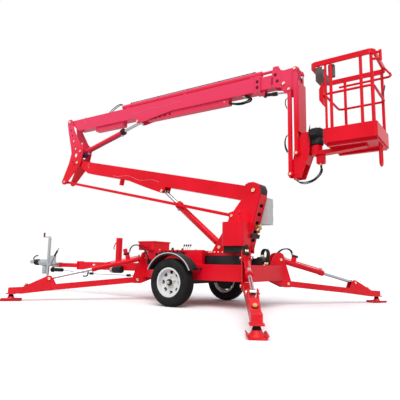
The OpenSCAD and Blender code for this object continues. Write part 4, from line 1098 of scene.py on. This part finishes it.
for leg, (_, _, heading) in LEGS.items():
    arm, barrel = "leg_" + leg, "leg_barrel_" + leg
    turn = Matrix.Rotation(math.radians(heading), 4, "Z")

    def beside_leg(a, b, along, off):
        """beside() in the plane of this outrigger."""
        u, _, z = beside(a, b, along, off)
        return leg_spot(leg, u, 0.0, z)

    if leg == "fl":
        hose_run = [Vector(spot) for spot in FRONT_HOSE]
    else:
        hose_run = [Vector(leg_spot(leg, u, 0.0, z)) for u, z in OTHER_HOSE]
    dress(red_enamel, arm, barrel)
    dress(chrome, "leg_rod_" + leg)
    lamp_way = Vector(leg_spot(leg, 0.435, 0.0, 0.900)) - Vector(leg_spot(leg, 0.0, 0.0, 0.0))
    lamp_at = Vector(leg_spot(leg, LAMP_U, 0.0, LAMP_Z))
    settle(placed(pin_cap, [
        facing(leg_spot(leg, LEG_ROD[0], side * 0.060, LEG_ROD[1]), leg_left(leg, side), *LEG_PIN)
        for side in SIDES
    ]), "rod_pins_" + leg, yellow_zinc, arm, "zinc")
    settle(placed(lamp_seat, [facing(lamp_at, lamp_way)]),
           "lamp_seat_" + leg, black_plastic, arm, "black_plastic")
    settle(placed(dome, [facing(lamp_at + lamp_way * 0.008, lamp_way)]),
           "leg_lamp_" + leg, amber_lens, arm)
    settle(placed(ball_boot, [facing(leg_spot(leg, FOOT_U, 0.0, 0.0), UP)]),
           "ball_boot_" + leg, black_rubber, arm, "black_plastic")
    cylinder_trim("leg_lift_trim_" + leg, barrel, LEG_TOP, LEG_ROD, length=0.88, across=0.092,
                  way=1, gap=0.012, pipe_finish=red_enamel, ring_finish=None, spot=beside_leg)
    hose("leg_hoses_" + leg, [
        [spot + Vector(leg_left(leg, w)) for spot in hose_run] for w in (-0.0125, 0.0125)
    ], 0.018, "chassis", far=barrel, span=(hose_run[2], hose_run[5]))
    for kind, pattern, along, off, finish, slot in LOCK_VALVE:
        if leg[0] == "f" or pattern != valve_cap:
            spot = in_frame(beside_leg(LEG_TOP, LEG_ROD, along, off))
            place = Matrix.Translation(spot) @ turn @ Matrix.Rotation(leg_fall, 4, "Y")
            settle(placed(pattern, [place]), kind + leg, finish, barrel, slot)
    settle(placed(hose_sleeve, [Matrix.Translation(in_frame(hose_run[0])) @ turn]),
           "hose_sleeve_" + leg, black_rubber, "chassis", "black_plastic")

for pattern in patterns:
    bpy.data.objects.remove(pattern)

# Studio: a pale floor that shows white to the camera and keeps the shadow, a white world,
# one broad, soft sun from the left rear, and the camera where the photograph was taken from.
floor = begin("plane", size=120.0)
floor.name = "studio_floor"
place, link = new_finish("studio_paper", Roughness=0.9, Specular_IOR_Level=0.0)
seen = place.node("LightPath")
floor.data.materials.append(link(Base_Color=seen.mix((0.62, 0.62, 0.62), (1.0, 1.0, 1.0))))
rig.stage(floor)
world = bpy.data.worlds.new("studio_world")
bpy.context.scene.world = world
world.use_nodes = True
sky = world.node_tree.nodes["Background"]
way = world.node_tree.nodes.new("ShaderNodeLightPath")
seen, mirrored, through = (
    Wire(world.node_tree, way.outputs[f"Is {ray} Ray"]) for ray in ("Camera", "Glossy", "Transmission")
)
plain = seen.maths("MAXIMUM", seen.maths("MAXIMUM", seen, mirrored * 0.6), through)
shade = plain.mix((0.62, 0.64, 0.66), (1.0, 1.0, 1.0))
world.node_tree.links.new(shade.socket, sky.inputs["Color"])
sky.inputs["Strength"].default_value = 1.0
bpy.ops.object.light_add(type="SUN", location=(-3.0, 6.0, 8.0))
lamp = bpy.context.object
lamp.name = "soft_sun"
lamp.data.angle = math.radians(50)
lamp.data.energy = 2.3
lamp.rotation_euler = (-Vector(lamp.location)).to_track_quat("-Z", "Y").to_euler()
eye = bpy.data.cameras.new("photo_camera")
eye.lens = 38.23
eye.sensor_width = 36.0
eye.clip_end = 200.0
camera = bpy.data.objects.new("photo_camera", eye)
bpy.context.collection.objects.link(camera)
sight = Vector((0.5583, -0.8163, 0.1476)).normalized()
right = Vector((-0.8267, -0.5622, 0.0178)).normalized()
turn = Matrix((right, right.cross(sight), -sight)).transposed().to_4x4()
camera.matrix_world = Matrix.Translation((-4.603, 5.639, 0.612)) @ turn
bpy.context.scene.camera = camera
bpy.context.scene.view_settings.view_transform = "Standard"

visual_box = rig.bounds()
with open("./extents.json", "w") as out_file:
    json.dump({"cad": [list(v) for v in cad_box], "visual": [list(v) for v in visual_box]}, out_file)
